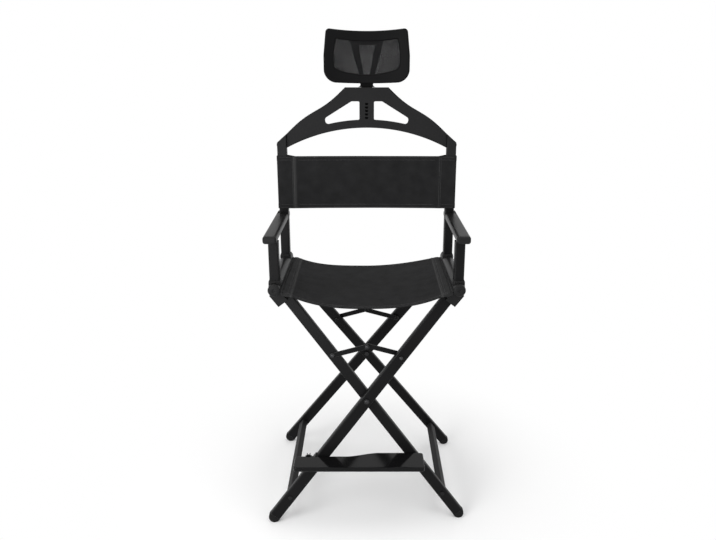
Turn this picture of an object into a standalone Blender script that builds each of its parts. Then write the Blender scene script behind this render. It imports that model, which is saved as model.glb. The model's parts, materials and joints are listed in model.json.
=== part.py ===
"""Folding makeup chair: crossed legs, canvas seat and back, footrest, and a headrest on a hanger bracket.

Metres, +Z up, +X to the right of a person who faces the chair, front towards -Y.
The origin lies on the floor under the middle of the chair's outer box.
Frame B is the outer pair of legs and leans to the right, frame A is the inner pair and leans to the left.
"""
import math

import bmesh
import bpy
import numpy as np
from mathutils import Matrix

# Clearances
FIT_GAP = 0.0003            # between fixed neighbours
RUN_GAP = 0.0006            # between pieces that move past each other
HOLE_GAP = 0.0004           # round a shank in its hole

# Stance of the crossed legs
LEG_LEAN = math.radians(37.4)
LEG_SPLAY = 0.1025          # depth that a leg gains per metre of its length, towards its foot
PIVOT_HEIGHT = 0.388
PIVOT_DEPTH = 0.176         # middle of the chair to the plane where the legs cross
SEAT_REACH = 0.436          # cross pivot to the axis of the seat tube
LEG_B_WIDTH = 0.035
LEG_A_WIDTH = 0.032
LEG_DEPTH = 0.019
LEG_GAP = 0.0034            # between two crossing legs
LEG_TOP_DROP = 0.0310       # seat tube axis to the level cut at the top of each leg
LEG_EDGE = 0.003
LEG_WALL = 0.0018
LEG_END_WALL = 0.004
FOOT_CAP_RISE = 0.0026      # straight part of a cap above its round end
FOOT_CAP_EDGE = 0.003
FOOT_SOLE_ANGLE = math.radians(12.0)  # half the level sole, seen from the middle of the round end
FOOT_STEPS = 9

# Rails of the leg frames
LOWER_RAIL_RISE = 0.1034    # floor to the lower rail, along the leg
LOWER_RAIL_WIDTH = 0.020
LOWER_RAIL_HEIGHT = 0.025
LOWER_RAIL_EDGE = 0.003
TOP_RAIL_OUTER = 0.0278     # leg centre line to the outer face of the top rail
TOP_RAIL_DROP = 0.0507      # seat tube axis to the lower edge of the top rail, along the leg
TOP_RAIL_HEIGHT = 0.0332
TOP_RAIL_EDGE = 0.002
END_BLOCK_INNER = 0.007     # past the leg centre line, towards the seat
END_BLOCK_DROP = 0.0085     # seat tube axis to the outer top edge of a block, along the leg
END_BLOCK_LENGTH = 0.012
END_BLOCK_EDGE = 0.0015

# Hinge clips that hold the seat tubes
CLIP_WALL = 0.0028
CLIP_LENGTH = 0.030
CLIP_DEPTH = 0.085          # middle of the chair to the middle of a clip
CLIP_INNER_ANGLE = math.radians(-25.0)
CLIP_OUTER_ANGLE = math.radians(158.0)
CLIP_FOOT_INNER = 0.004
CLIP_FOOT_DROP = 0.044      # seat tube axis to the lower end of a clip, along the leg
CLIP_STEPS = 24

# Bolts and screws
PIVOT_BOLT_RADIUS = 0.004
PIVOT_HEAD_RADIUS = 0.008
PIVOT_HEAD_LENGTH = 0.003
PIVOT_NUT_LENGTH = 0.005
COLLAR_RADIUS = 0.0075
BOLT_RADIUS = 0.0028
BOLT_HEAD_RADIUS = 0.0056
BOLT_HEAD_LENGTH = 0.0028
BOLT_GRIP = 0.012
SCREW_HEAD_RADIUS = 0.0038
SCREW_HEAD_LENGTH = 0.0020

# Spreader links
LINK_BOLT_REACH = 0.168     # cross pivot to the link bolt, along the leg
LINK_RISE = 0.028           # link bolt to the centre rivet
LINK_WIDTH = 0.015
LINK_THICKNESS = 0.003
LINK_STANDOFF = 0.0018      # leg face to the front link
LINK_STEP = 0.0056          # between the two links of a pair
RIVET_RADIUS = 0.0058
RIVET_LENGTH = 0.0026
LINK_BOLT_RADIUS = 0.0032
LINK_HEAD_RADIUS = 0.0058

# Seat tubes
TUBE_RADIUS = 0.018
TUBE_LENGTH = 0.364
TUBE_SHIFT = 0.004          # middle of the tube in front of the middle of the leg frames
GROOVE_DROP = math.radians(12.0)
GROOVE_DEPTH = 0.0115       # tube axis to the middle of the groove
ROD_RADIUS = 0.0036
ROD_KNOB_RADIUS = 0.0044
ROD_KNOB_LENGTH = 0.006
BORE_RADIUS = 0.0105
BORE_OFFSET = 0.005         # tube axis to the middle of its bore, away from the groove
PLUG_LENGTH = 0.007
PLUG_EDGE = 0.0055
PLUG_RECESS_RADIUS = 0.0036
PLUG_RECESS_DEPTH = 0.002

# Posts and arms, heights above the tube axis
POST_SIZE = 0.029
POST_CORNER = 0.004
POST_WALL = 0.00285
FRONT_POST_INSET = 0.031    # front end of the tube to the middle of the front post
REAR_POST_INSET = 0.050
REAR_POST_HEIGHT = 0.3236
SADDLE_SIZE = 0.0358
SADDLE_LOW = 0.004
SADDLE_STEP_HEIGHT = 0.0195
SADDLE_COLLAR_SIZE = 0.0338
SADDLE_HEIGHT = 0.0228
SADDLE_EDGE = 0.002
ARM_WIDTH = 0.039
ARM_OFFSET = 0.0062         # tube axis to the middle of the arm, outwards
ARM_TOP = 0.1596
ARM_THICKNESS = 0.022
ARM_OVERHANG = 0.010        # past the front end of the tube
ARM_REAR_INSET = 0.0125
ARM_EDGE = 0.007
ARM_WALL = 0.0035
ARM_CAP_LENGTH = 0.012
ARM_CAP_EDGE = 0.006

# Canvas
CANVAS = 0.0022
CANVAS_SLACK = 0.0006       # round the posts and in the grooves
SEAT_MARGIN = 0.002         # end of the tube to the edge of the seat canvas
SEAT_SAG_FRONT = 0.0535
SEAT_SAG_REAR = 0.030
SEAT_SAG_POWER = 2.6
SEAT_COLUMNS = 24
SEAT_ROWS = 12
BACK_CANVAS_LOW = 0.1760    # above the tube axis
BACK_CANVAS_HEIGHT = 0.1655
BACK_PANEL = 0.003
SLEEVE_WIDTH = 0.0572
SLEEVE_CORNER = 0.004

# Head bracket, heights above the tops of the rear posts
SPIGOT_LENGTH = 0.070
SOCKET_DEPTH = 0.074
UPRIGHT_HEIGHT = 0.0596     # at its outer side
UPRIGHT_EDGE = 0.002
HANGER_THICKNESS = 0.010
HANGER_TOP = 0.2253
HANGER_TOP_HALF = 0.067
HANGER_SHOULDER_LOW = 0.0850  # at the uprights
HANGER_WAVE = 0.006
HANGER_ARCH_TOP = 0.1041
HANGER_ARCH_LOW = 0.0420
HANGER_EDGE = 0.0015
CUTOUT_BAR_HALF = 0.021
CUTOUT_TOP = 0.1837
CUTOUT_TOP_HALF = 0.046
CUTOUT_TIP_HALF = 0.1285
CUTOUT_TIP_HEIGHT = 0.1334
CUTOUT_BAND = 0.0245        # arch edge to the cut-out
CUTOUT_CORNER = 0.004
NOTCH_COUNT = 5
NOTCH_TOP = 0.1786
NOTCH_PITCH = 0.0104
NOTCH_WIDTH = 0.0100
NOTCH_HEIGHT = 0.0072
GUIDE_WALL = 0.0035
GUIDE_LOW = 0.112
GUIDE_HIGH = 0.204

# Headrest, the stem's lower end above the tops of the rear posts, the rest from the tilt axis
STEM_WIDTH = 0.034
STEM_THICKNESS = 0.006
STEM_EDGE = 0.001
STEM_LOW = 0.117
STEM_DROP = 0.0165          # to the upper end of the stem's full width
KNUCKLE_RADIUS = 0.0065
KNUCKLE_WIDTH = 0.018
TILT_RISE = 0.0307          # top of the hanger to the tilt axis
TILT_PIN_RADIUS = 0.0030
TILT_PIN_LENGTH = 0.040
TILT_PIN_HEAD = 0.0045
TILT_PIN_HEAD_LENGTH = 0.002
LUG_WIDTH = 0.007
LUG_HALF = 0.0050
HEADREST_DROP = 0.014       # to the lower edge, at the two ends
HEADREST_HEIGHT = 0.154
HEADREST_WIDTH = 0.258
HEADREST_CORNER = 0.012
HEADREST_BASE_CORNER = 0.036
HEADREST_TAPER = 0.06       # share of the width lost at the top
HEADREST_DIP = 0.008        # of the middle of the upper edge
HEADREST_BULGE = 0.005      # of the middle of the lower edge
HEADREST_BEND = 0.020       # forward reach of the two ends
HEADREST_THICKNESS = 0.012
HEADREST_RIM_EDGE = 0.006
WINDOW_WIDTH = 0.198
WINDOW_HEIGHT = 0.0836      # at its two ends
WINDOW_MIDDLE = 0.0683
WINDOW_CORNER = 0.005
WINDOW_BASE_CORNER = 0.010
WINDOW_TAPER = 0.07
WINDOW_DIP = 0.010
WINDOW_BULGE = 0.019
MESH_THICKNESS = 0.0014
MESH_ROWS = 3
FORK_THICKNESS = 0.006
FORK_LOW_INNER = 0.0050
FORK_LOW_OUTER = 0.0190
FORK_HIGH_INNER = 0.0330
FORK_HIGH_OUTER = 0.0580
FORK_DROP = 0.011
FORK_CROTCH_HEIGHT = 0.006
FORK_BAR_DROP = 0.0179      # top of the window to the lower edge of the fork's crossbar
FORK_TOP_DROP = 0.011       # top of the headrest to the top of the fork
FORK_STEPS = 6
FORK_COLUMNS = 4
CORNER_STEPS = 5
EDGE_STEPS = 9

# Footrest
FOOTREST_TOP = 0.218
FOOTREST_THICKNESS = 0.014
FOOTREST_DEPTH = 0.06319    # at its left end
FOOTREST_LEFT_END = 0.040   # past the footrest pin
FOOTREST_RIGHT_END = 0.0263  # past the peg
FOOTREST_LEG_GAP = 0.0032   # behind it, to the front leg of frame A
FOOTREST_WAVE_LEFT = -0.065
FOOTREST_WAVE_RIGHT = 0.040
FOOTREST_CORNER = 0.008
FOOTREST_EDGE = 0.002
FOOTREST_WAVE_STEPS = 14
FOOTREST_PIN_OFFSET = 0.01481  # side of the leg to the pin
FOOTREST_PIN_RADIUS = 0.0032
FOOTREST_PIN_DEPTH = 0.040
FOOTREST_KNOB_RADIUS = 0.0058
FOOTREST_KNOB_LENGTH = 0.007
BRACKET_THICKNESS = 0.0035
BRACKET_LUG = 0.011
BRACKET_FLANGE_HALF = 0.022
BRACKET_FLANGE_DEPTH = 0.016
PEG_RADIUS = 0.005
PEG_LENGTH = 0.044
PEG_SEAT = 0.012

# Roundness
FINE = 32
ROUND = 16
SMALL = 12

BLACK_METAL = (0.018, 0.018, 0.019)
BLACK_PLASTIC = (0.014, 0.014, 0.015)
BLACK_CANVAS = (0.016, 0.016, 0.017)
BLACK_GLOSS = (0.010, 0.010, 0.011)
BLACK_MESH = (0.030, 0.030, 0.031)
DARK_STEEL = (0.060, 0.060, 0.062)

SIN_LEAN = math.sin(LEG_LEAN)
COS_LEAN = math.cos(LEG_LEAN)
SEAT_HALF = SEAT_REACH * SIN_LEAN
SEAT_HEIGHT = PIVOT_HEIGHT + SEAT_REACH * COS_LEAN
TOP_RAIL_LOW = SEAT_REACH - TOP_RAIL_DROP
LOWER_RAIL_REACH = PIVOT_HEIGHT / COS_LEAN - LOWER_RAIL_RISE
TILT_HEIGHT = HANGER_TOP + TILT_RISE
TUBE_FRONT = -TUBE_LENGTH / 2 - TUBE_SHIFT
TUBE_REAR = TUBE_FRONT + TUBE_LENGTH
FRONT_POST_Y = TUBE_FRONT + FRONT_POST_INSET
REAR_POST_Y = TUBE_REAR - REAR_POST_INSET
ARM_FRONT = TUBE_FRONT - ARM_OVERHANG
ARM_REAR = TUBE_REAR - ARM_REAR_INSET
POST_HALF = POST_SIZE / 2
POST_FOOT = TUBE_RADIUS + FIT_GAP
BACK_TOP = SEAT_HEIGHT + REAR_POST_HEIGHT
FRONT, REAR = -1, 1
FRAME_B, FRAME_A = 1, -1
RIGHT, LEFT = 1, -1


def clear_scene():
    """Remove every object of the scene."""
    for item in list(bpy.data.objects):
        bpy.data.objects.remove(item)


def finish(name, colour, roughness, metallic):
    """Plain material with a colour, a roughness and a metallic value."""
    material = bpy.data.materials.new(name)
    material.use_nodes = True
    shader = material.node_tree.nodes["Principled BSDF"]
    shader.inputs["Base Color"].default_value = (*colour, 1.0)
    shader.inputs["Roughness"].default_value = roughness
    shader.inputs["Metallic"].default_value = metallic
    return material


LOOKS = {
    "metal": (BLACK_METAL, 0.42, 0.6),
    "plastic": (BLACK_PLASTIC, 0.5, 0.0),
    "canvas": (BLACK_CANVAS, 0.95, 0.0),
    "gloss": (BLACK_GLOSS, 0.12, 0.0),
    "mesh": (BLACK_MESH, 0.8, 0.0),
    "steel": (DARK_STEEL, 0.35, 0.9),
}


def empty(name, location, parent, turn=0.0):
    """Empty on a joint axis that carries the pieces of one moving body."""
    item = bpy.data.objects.new(name, None)
    bpy.context.scene.collection.objects.link(item)
    item.parent = parent
    item.location = location
    item.rotation_euler = (0.0, turn, 0.0)
    return item


def place(name, shape, look, parent, location=(0.0, 0.0, 0.0)):
    """Turn a closed shape into a named object under its body."""
    bmesh.ops.recalc_face_normals(shape, faces=shape.faces)
    mesh = bpy.data.meshes.new(name)
    shape.to_mesh(mesh)
    shape.free()
    mesh.shade_smooth()
    mesh.set_sharp_from_angle(angle=math.radians(35.0))
    mesh.materials.append(finish(name + "_finish", *LOOKS[look]))
    item = bpy.data.objects.new(name, mesh)
    bpy.context.scene.collection.objects.link(item)
    item.parent = parent
    item.location = location
    return item


def prism(outline, axis, start, end):
    """Closed outline drawn out along one axis; the outline holds the two other coordinates in order."""
    shape = bmesh.new()
    rings = []
    for depth in (start, end):
        ring = []
        for first, second in outline:
            point = {"X": (depth, first, second), "Y": (first, depth, second),
                     "Z": (first, second, depth)}[axis]
            ring.append(shape.verts.new(point))
        rings.append(ring)
    count = len(outline)
    for index in range(count):
        after = (index + 1) % count
        shape.faces.new((rings[0][index], rings[0][after], rings[1][after], rings[1][index]))
    shape.faces.new(rings[0])
    shape.faces.new(rings[1])
    bmesh.ops.recalc_face_normals(shape, faces=shape.faces)
    return shape


def box(low, high):
    """Box between two corners."""
    outline = [(low[0], low[1]), (high[0], low[1]), (high[0], high[1]), (low[0], high[1])]
    return prism(outline, "Z", low[2], high[2])


def circle(radius, count, centre=(0.0, 0.0)):
    """Points of a circle."""
    turns = [2.0 * math.pi * index / count for index in range(count)]
    return [(centre[0] + radius * math.cos(turn), centre[1] + radius * math.sin(turn)) for turn in turns]


def arc(radius, first, last, count, centre=(0.0, 0.0)):
    """Points of an arc between two angles, both ends included."""
    turns = [first + (last - first) * index / count for index in range(count + 1)]
    return [(centre[0] + radius * math.cos(turn), centre[1] + radius * math.sin(turn)) for turn in turns]


def rounded_rectangle(width, height, radius, base_radius, corner_steps, edge_steps=1):
    """Rectangle about the middle with round upper and lower corners and as many points on each side."""
    arcs = []
    for index, (way_x, way_z, turn) in enumerate(((1, 1, radius), (-1, 1, radius), (-1, -1, base_radius),
                                                  (1, -1, base_radius))):
        quarter = index * math.pi / 2
        centre = (way_x * (width / 2 - turn), way_z * (height / 2 - turn))
        arcs.append(arc(turn, quarter, quarter + math.pi / 2, corner_steps, centre))
    points = []
    for corner, after in zip(arcs, arcs[1:] + arcs[:1]):
        points.extend(corner)
        start, stop = corner[-1], after[0]
        for step in range(1, edge_steps):
            share = step / edge_steps
            points.append((start[0] + (stop[0] - start[0]) * share, start[1] + (stop[1] - start[1]) * share))
    return points


def moved(shape, offset):
    """Shift a shape."""
    bmesh.ops.translate(shape, verts=shape.verts, vec=offset)
    return shape


def flipped(shape, side):
    """Mirror a shape across the middle plane for the second side."""
    if side < 0:
        bmesh.ops.transform(shape, matrix=Matrix.Diagonal((-1.0, 1.0, 1.0, 1.0)), verts=shape.verts)
        bmesh.ops.reverse_faces(shape, faces=shape.faces)
    return shape


def eased(shape, width, steps, picks):
    """Round the edges that a test picks."""
    edges = [edge for edge in shape.edges if picks(edge)]
    bmesh.ops.bevel(shape, geom=edges, offset=width, segments=steps, profile=0.5, affect="EDGES",
                    clamp_overlap=True)
    return shape


def runs_along(axis):
    """Test for edges that run along one axis."""
    def picks(edge):
        span = edge.verts[1].co - edge.verts[0].co
        return abs(span[axis]) > 0.99 * span.length
    return picks


def lies_at(axis, values):
    """Test for edges whose two ends lie on one of some levels of an axis."""
    def picks(edge):
        return any(all(abs(vert.co[axis] - value) < 1e-6 for vert in edge.verts) for value in values)
    return picks


def combined(base, tools, operation):
    """Boolean of a closed shape with other closed shapes."""
    def stand_in(shape):
        mesh = bpy.data.meshes.new("stand_in")
        bmesh.ops.recalc_face_normals(shape, faces=shape.faces)
        shape.to_mesh(mesh)
        shape.free()
        item = bpy.data.objects.new("stand_in", mesh)
        bpy.context.scene.collection.objects.link(item)
        return item

    target = stand_in(base)
    helpers = [stand_in(tool) for tool in tools]
    for helper in helpers:
        modifier = target.modifiers.new("combine", "BOOLEAN")
        modifier.operation = operation
        modifier.solver = "EXACT"
        modifier.object = helper
    graph = bpy.context.evaluated_depsgraph_get()
    mesh = bpy.data.meshes.new_from_object(target.evaluated_get(graph))
    result = bmesh.new()
    result.from_mesh(mesh)
    for item in (target, *helpers):
        old = item.data
        bpy.data.objects.remove(item)
        bpy.data.meshes.remove(old)
    bpy.data.meshes.remove(mesh)
    return result


def cut(base, *tools):
    """Take shapes out of a shape."""
    return combined(base, tools, "DIFFERENCE")


def fused(base, *tools):
    """Join shapes that overlap into one body."""
    return combined(base, tools, "UNION")


def rod(axis, radius, start, end, centre, count=SMALL):
    """Round bar along an axis through a point given by the two other coordinates."""
    return prism(circle(radius, count, centre), axis, start, end)


def headed_bolt(axis, centre, face, tip, radius, head_radius, head_length, count=SMALL):
    """Bolt whose head stands on a face and whose shank runs to its tip."""
    way = 1.0 if tip > face else -1.0
    head = rod(axis, head_radius, face - way * head_length, face, centre, count)
    shank = rod(axis, radius, face - way * head_length / 2, tip, centre, count)
    return fused(head, shank)


def leg_width(frame):
    """Width of the legs of a frame."""
    return LEG_B_WIDTH if frame == FRAME_B else LEG_A_WIDTH


def leg_depth(frame, reach):
    """Depth of a leg's middle plane from the middle of the chair, at a distance along the leg."""
    return PIVOT_DEPTH + frame * (LEG_DEPTH + LEG_GAP) / 2 - LEG_SPLAY * reach


def foot_centre(frame):
    """Distance from the cross pivot to the middle of a foot cap's round end, whose sole lies on the floor."""
    return (leg_width(frame) / 2 * math.cos(FOOT_SOLE_ANGLE) - PIVOT_HEIGHT) / COS_LEAN


def foot_top(frame):
    """Distance from the cross pivot to the upper end of a foot cap."""
    return foot_centre(frame) + FOOT_CAP_RISE


def leg_top_reach(outward):
    """Distance from the cross pivot to the level cut at the top of a leg."""
    return SEAT_REACH + (outward * SIN_LEAN - LEG_TOP_DROP) / COS_LEAN


def leg_bar(frame, low, high, wall=0.0):
    """Straight length of leg between two reaches, or of its bore where a wall is given."""
    half = leg_width(frame) / 2 - wall
    depth = LEG_DEPTH / 2 - wall
    return box((-half, -depth, low), (half, depth, high))


def level_top(shape, drop=0.0):
    """Cut the upper end of a length of leg level with the floor, some way below the leg's top."""
    for vert in shape.verts:
        if vert.co.z > 0.0:
            vert.co.z = leg_top_reach(vert.co.x) - drop
    return shape


def splayed(shape, frame, end):
    """Slant a shape in depth so that it follows a leg."""
    for vert in shape.verts:
        vert.co.y += end * leg_depth(frame, vert.co.z)
    return shape


def make_leg(frame, end):
    """One hollow leg with its rivet holes, about the cross pivot."""
    low = foot_top(frame) + FIT_GAP
    shape = eased(leg_bar(frame, low, SEAT_REACH), LEG_EDGE, 2, runs_along(2))
    splayed(level_top(shape), frame, end)
    bore = level_top(leg_bar(frame, low - LEG_DEPTH, SEAT_REACH, LEG_WALL), LEG_END_WALL)
    tools = [splayed(bore, frame, end)]
    for reach, radius in ((0.0, PIVOT_BOLT_RADIUS), (LINK_BOLT_REACH, LINK_BOLT_RADIUS),
                          (-LOWER_RAIL_REACH, BOLT_RADIUS)):
        middle = end * leg_depth(frame, reach)
        tools.append(rod("Y", radius + HOLE_GAP, middle - LEG_DEPTH, middle + LEG_DEPTH, (0.0, reach)))
    reach = top_bolt_reach()
    tools.append(rod("X", BOLT_RADIUS + HOLE_GAP, leg_width(frame) / 2 - BOLT_GRIP - HOLE_GAP, leg_width(frame),
                     (end * leg_depth(frame, reach), reach)))
    if frame == FRAME_A and end == FRONT:
        reach = peg_reach()
        middle = end * leg_depth(frame, reach)
        tools.append(rod("Y", PEG_RADIUS + HOLE_GAP, middle - LEG_DEPTH, middle - LEG_DEPTH / 2 + PEG_SEAT
                         + HOLE_GAP, (0.0, reach)))
    return flipped(cut(shape, *tools), frame)


def top_bolt_reach():
    """Height of the top rail bolts along the leg."""
    return (TOP_RAIL_LOW + leg_top_reach(0.0)) / 2


def peg_reach():
    """Place of the footrest peg along the front leg of frame A."""
    height = FOOTREST_TOP - FOOTREST_THICKNESS - FIT_GAP - PEG_RADIUS
    return (height - PIVOT_HEIGHT) / COS_LEAN


def make_foot(frame, end):
    """Round-ended cap on the lower end of a leg, with a level sole on the floor."""
    radius, top = leg_width(frame) / 2, foot_top(frame)
    centre = (0.0, foot_centre(frame))
    down = LEG_LEAN - math.pi / 2
    outline = arc(radius, -math.pi, down - FOOT_SOLE_ANGLE, 2 * FOOT_STEPS, centre)
    outline += arc(radius, down + FOOT_SOLE_ANGLE, 0.0, FOOT_STEPS, centre)
    outline += [(radius, top), (-radius, top)]
    half = LEG_DEPTH / 2
    shape = prism(outline, "Y", -half, half)
    at_faces, at_top = lies_at(1, (-half, half)), lies_at(2, (top,))
    eased(shape, FOOT_CAP_EDGE, 2, lambda edge: at_faces(edge) and not at_top(edge))
    return flipped(splayed(shape, frame, end), frame)


def make_lower_rail(frame):
    """Rail between the front and rear legs of a frame, close to the feet, riveted through them."""
    nearest = LOWER_RAIL_HEIGHT / 2 - LOWER_RAIL_REACH
    half = leg_depth(frame, nearest) - LEG_DEPTH / 2 - FIT_GAP
    shape = box((-LOWER_RAIL_WIDTH / 2, -half, -LOWER_RAIL_HEIGHT / 2 - LOWER_RAIL_REACH),
                (LOWER_RAIL_WIDTH / 2, half, nearest))
    eased(shape, LOWER_RAIL_EDGE, 2, runs_along(1))
    rivets = []
    for end in (FRONT, REAR):
        face = leg_depth(frame, -LOWER_RAIL_REACH) + LEG_DEPTH / 2 + BOLT_HEAD_RADIUS * LEG_SPLAY + FIT_GAP
        rivets.append(headed_bolt("Y", (0.0, -LOWER_RAIL_REACH), end * face, end * (half - BOLT_GRIP),
                                  BOLT_RADIUS, BOLT_HEAD_RADIUS, BOLT_HEAD_LENGTH))
    return flipped(fused(shape, *rivets), frame)


def top_rail_half():
    """Half length of both top rails, up to the front face of the outer legs."""
    return leg_depth(FRAME_B, TOP_RAIL_LOW) + LEG_DEPTH / 2 + FIT_GAP


def make_top_rail(frame):
    """Flat rail along the outer side of the leg tops, under the seat tube, riveted to them."""
    inner = leg_width(frame) / 2 + FIT_GAP
    half = top_rail_half()
    shape = box((inner, -half, TOP_RAIL_LOW), (TOP_RAIL_OUTER, half, TOP_RAIL_LOW + TOP_RAIL_HEIGHT))
    eased(shape, TOP_RAIL_EDGE, 2, runs_along(1))
    reach = top_bolt_reach()
    rivets = [headed_bolt("X", (end * leg_depth(frame, reach), reach), TOP_RAIL_OUTER - FIT_GAP,
                          leg_width(frame) / 2 - BOLT_GRIP, BOLT_RADIUS, BOLT_HEAD_RADIUS, BOLT_HEAD_LENGTH)
              for end in (FRONT, REAR)]
    return flipped(fused(shape, *rivets), frame)


def make_end_block(frame, end):
    """Block on the end of a top rail, hollowed to cradle the seat tube."""
    cradle = TUBE_RADIUS + RUN_GAP
    outer_turn = -math.asin(END_BLOCK_DROP / cradle)
    inner_turn = -math.acos(-END_BLOCK_INNER / cradle)
    outline = [(-END_BLOCK_INNER, TOP_RAIL_LOW), (TOP_RAIL_OUTER, TOP_RAIL_LOW),
               (TOP_RAIL_OUTER, SEAT_REACH - END_BLOCK_DROP)]
    outline.extend(arc(cradle, outer_turn, inner_turn, 10, (0.0, SEAT_REACH)))
    near = end * (top_rail_half() + FIT_GAP)
    far = near + end * END_BLOCK_LENGTH
    shape = prism(outline, "Y", near, far)
    eased(shape, END_BLOCK_EDGE, 2, lies_at(1, (far,)))
    return flipped(shape, frame)


def make_clip(frame, end):
    """Spring clip on a top rail that reaches round the seat tube."""
    inner = TUBE_RADIUS + RUN_GAP
    down = -math.pi / 2
    centre = (0.0, SEAT_REACH)
    outline = arc(inner + CLIP_WALL, down + CLIP_INNER_ANGLE, down + CLIP_OUTER_ANGLE, CLIP_STEPS, centre)
    outline.extend(reversed(arc(inner, down + CLIP_INNER_ANGLE, down + CLIP_OUTER_ANGLE, CLIP_STEPS, centre)))
    low = end * CLIP_DEPTH - CLIP_LENGTH / 2
    high = end * CLIP_DEPTH + CLIP_LENGTH / 2
    ring = prism(outline, "Y", low, high)
    foot = box((CLIP_FOOT_INNER, low, SEAT_REACH - CLIP_FOOT_DROP),
               (leg_width(frame) / 2, high, SEAT_REACH - inner - CLIP_WALL / 3))
    return flipped(fused(ring, foot), frame)


def make_pivot_rivet(end):
    """Rivet that joins two crossing legs, with a collar that keeps them apart."""
    slant = PIVOT_HEAD_RADIUS * LEG_SPLAY + FIT_GAP
    centre = (0.0, 0.0)
    front = leg_depth(FRAME_B, 0.0) + LEG_DEPTH / 2 + slant
    back = leg_depth(FRAME_A, 0.0) - LEG_DEPTH / 2 - slant
    shank = headed_bolt("Y", centre, end * front, end * (back - PIVOT_NUT_LENGTH), PIVOT_BOLT_RADIUS,
                        PIVOT_HEAD_RADIUS, PIVOT_HEAD_LENGTH, ROUND)
    nut = rod("Y", PIVOT_HEAD_RADIUS, end * back, end * (back - PIVOT_NUT_LENGTH), centre, 6)
    half = LEG_GAP / 2 - COLLAR_RADIUS * LEG_SPLAY - FIT_GAP
    collar = rod("Y", COLLAR_RADIUS, end * PIVOT_DEPTH - half, end * PIVOT_DEPTH + half, centre, ROUND)
    return fused(shank, nut, collar)


def link_bolt_place(side):
    """World place of a link bolt in the front view."""
    return side * LINK_BOLT_REACH * SIN_LEAN, PIVOT_HEIGHT + LINK_BOLT_REACH * COS_LEAN


def link_plane(side):
    """Depth of the inner face of a link from the middle; the left link lies in front of its leg."""
    left = leg_depth(FRAME_A, LINK_BOLT_REACH) + LEG_DEPTH / 2 + LINK_STANDOFF
    return left if side == LEFT else left - LINK_STEP - LINK_THICKNESS


def make_link(side, end):
    """Flat spreader link about its leg stud, with its half of the centre rivet."""
    reach_x = -side * LINK_BOLT_REACH * SIN_LEAN
    length = math.hypot(reach_x, LINK_RISE)
    slope = math.atan2(LINK_RISE, reach_x)
    half = LINK_WIDTH / 2
    flat = arc(half, math.pi / 2, 3 * math.pi / 2, 8) + arc(half, -math.pi / 2, math.pi / 2, 8, (length, 0.0))
    outline = [(x * math.cos(slope) - z * math.sin(slope), x * math.sin(slope) + z * math.cos(slope))
               for x, z in flat]
    inner = link_plane(side)
    outer = inner + LINK_THICKNESS
    bar = prism(outline, "Y", end * inner, end * outer)
    middle = (inner + outer) / 2
    if side == LEFT:
        rivet_ends = (outer + RIVET_LENGTH, inner - LINK_STEP + RUN_GAP)
    else:
        rivet_ends = (inner - RIVET_LENGTH, middle)
    rivet = rod("Y", RIVET_RADIUS, end * rivet_ends[0], end * rivet_ends[1], (reach_x, LINK_RISE))
    frame = FRAME_A if side == LEFT else FRAME_B
    leg = leg_depth(frame, LINK_BOLT_REACH)
    slant = LINK_HEAD_RADIUS * LEG_SPLAY + FIT_GAP
    way = -1.0 if side == LEFT else 1.0
    face = leg + way * (LEG_DEPTH / 2 + slant)
    stud = headed_bolt("Y", (0.0, 0.0), end * face, end * middle, LINK_BOLT_RADIUS, LINK_HEAD_RADIUS,
                       BOLT_HEAD_LENGTH)
    cover = rod("Y", LINK_HEAD_RADIUS, end * middle,
                end * (middle - way * (LINK_THICKNESS / 2 + BOLT_HEAD_LENGTH)), (0.0, 0.0))
    return fused(bar, rivet, stud, cover)


def groove_point(along, across):
    """Point of the tube section, with along pointing out of the groove and across upwards from it."""
    cos_drop, sin_drop = math.cos(GROOVE_DROP), math.sin(GROOVE_DROP)
    return -along * cos_drop - across * sin_drop, -along * sin_drop + across * cos_drop


def make_seat_tube(side):
    """Hollow seat tube with a keyhole groove for the canvas rod."""
    slot = CANVAS / 2 + CANVAS_SLACK
    cavity = ROD_RADIUS + CANVAS_SLACK
    mouth = math.asin(slot / TUBE_RADIUS)
    throat = math.asin(slot / cavity)
    section = arc(TUBE_RADIUS, mouth, 2 * math.pi - mouth, FINE)
    section += arc(cavity, -throat, throat - 2 * math.pi, SMALL, (GROOVE_DEPTH, 0.0))
    outline = [groove_point(along, across) for along, across in section]
    bore = rod("Y", BORE_RADIUS, TUBE_FRONT - TUBE_RADIUS, TUBE_REAR + TUBE_RADIUS,
               groove_point(-BORE_OFFSET, 0.0), ROUND)
    return flipped(cut(prism(outline, "Y", TUBE_FRONT, TUBE_REAR), bore), side)


def make_tube_plug(side):
    """Rounded plug on the front end of a seat tube, with a screw recess."""
    back = TUBE_FRONT - FIT_GAP
    front = back - PLUG_LENGTH
    shape = rod("Y", TUBE_RADIUS, front, back, (0.0, 0.0), FINE)
    eased(shape, PLUG_EDGE, 3, lies_at(1, (front,)))
    recess = rod("Y", PLUG_RECESS_RADIUS, front - PLUG_LENGTH, front + PLUG_RECESS_DEPTH, (0.0, 0.0))
    return flipped(cut(shape, recess), side)


def make_canvas_rod(side):
    """Rod in the tube groove that holds the seat hem, with a knob behind the tube."""
    centre = groove_point(GROOVE_DEPTH, 0.0)
    bar = rod("Y", ROD_RADIUS, TUBE_FRONT + FIT_GAP, TUBE_REAR + ROD_KNOB_LENGTH / 2, centre)
    knob = rod("Y", ROD_KNOB_RADIUS, TUBE_REAR + FIT_GAP, TUBE_REAR + ROD_KNOB_LENGTH, centre)
    return flipped(fused(bar, knob), side)


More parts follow.
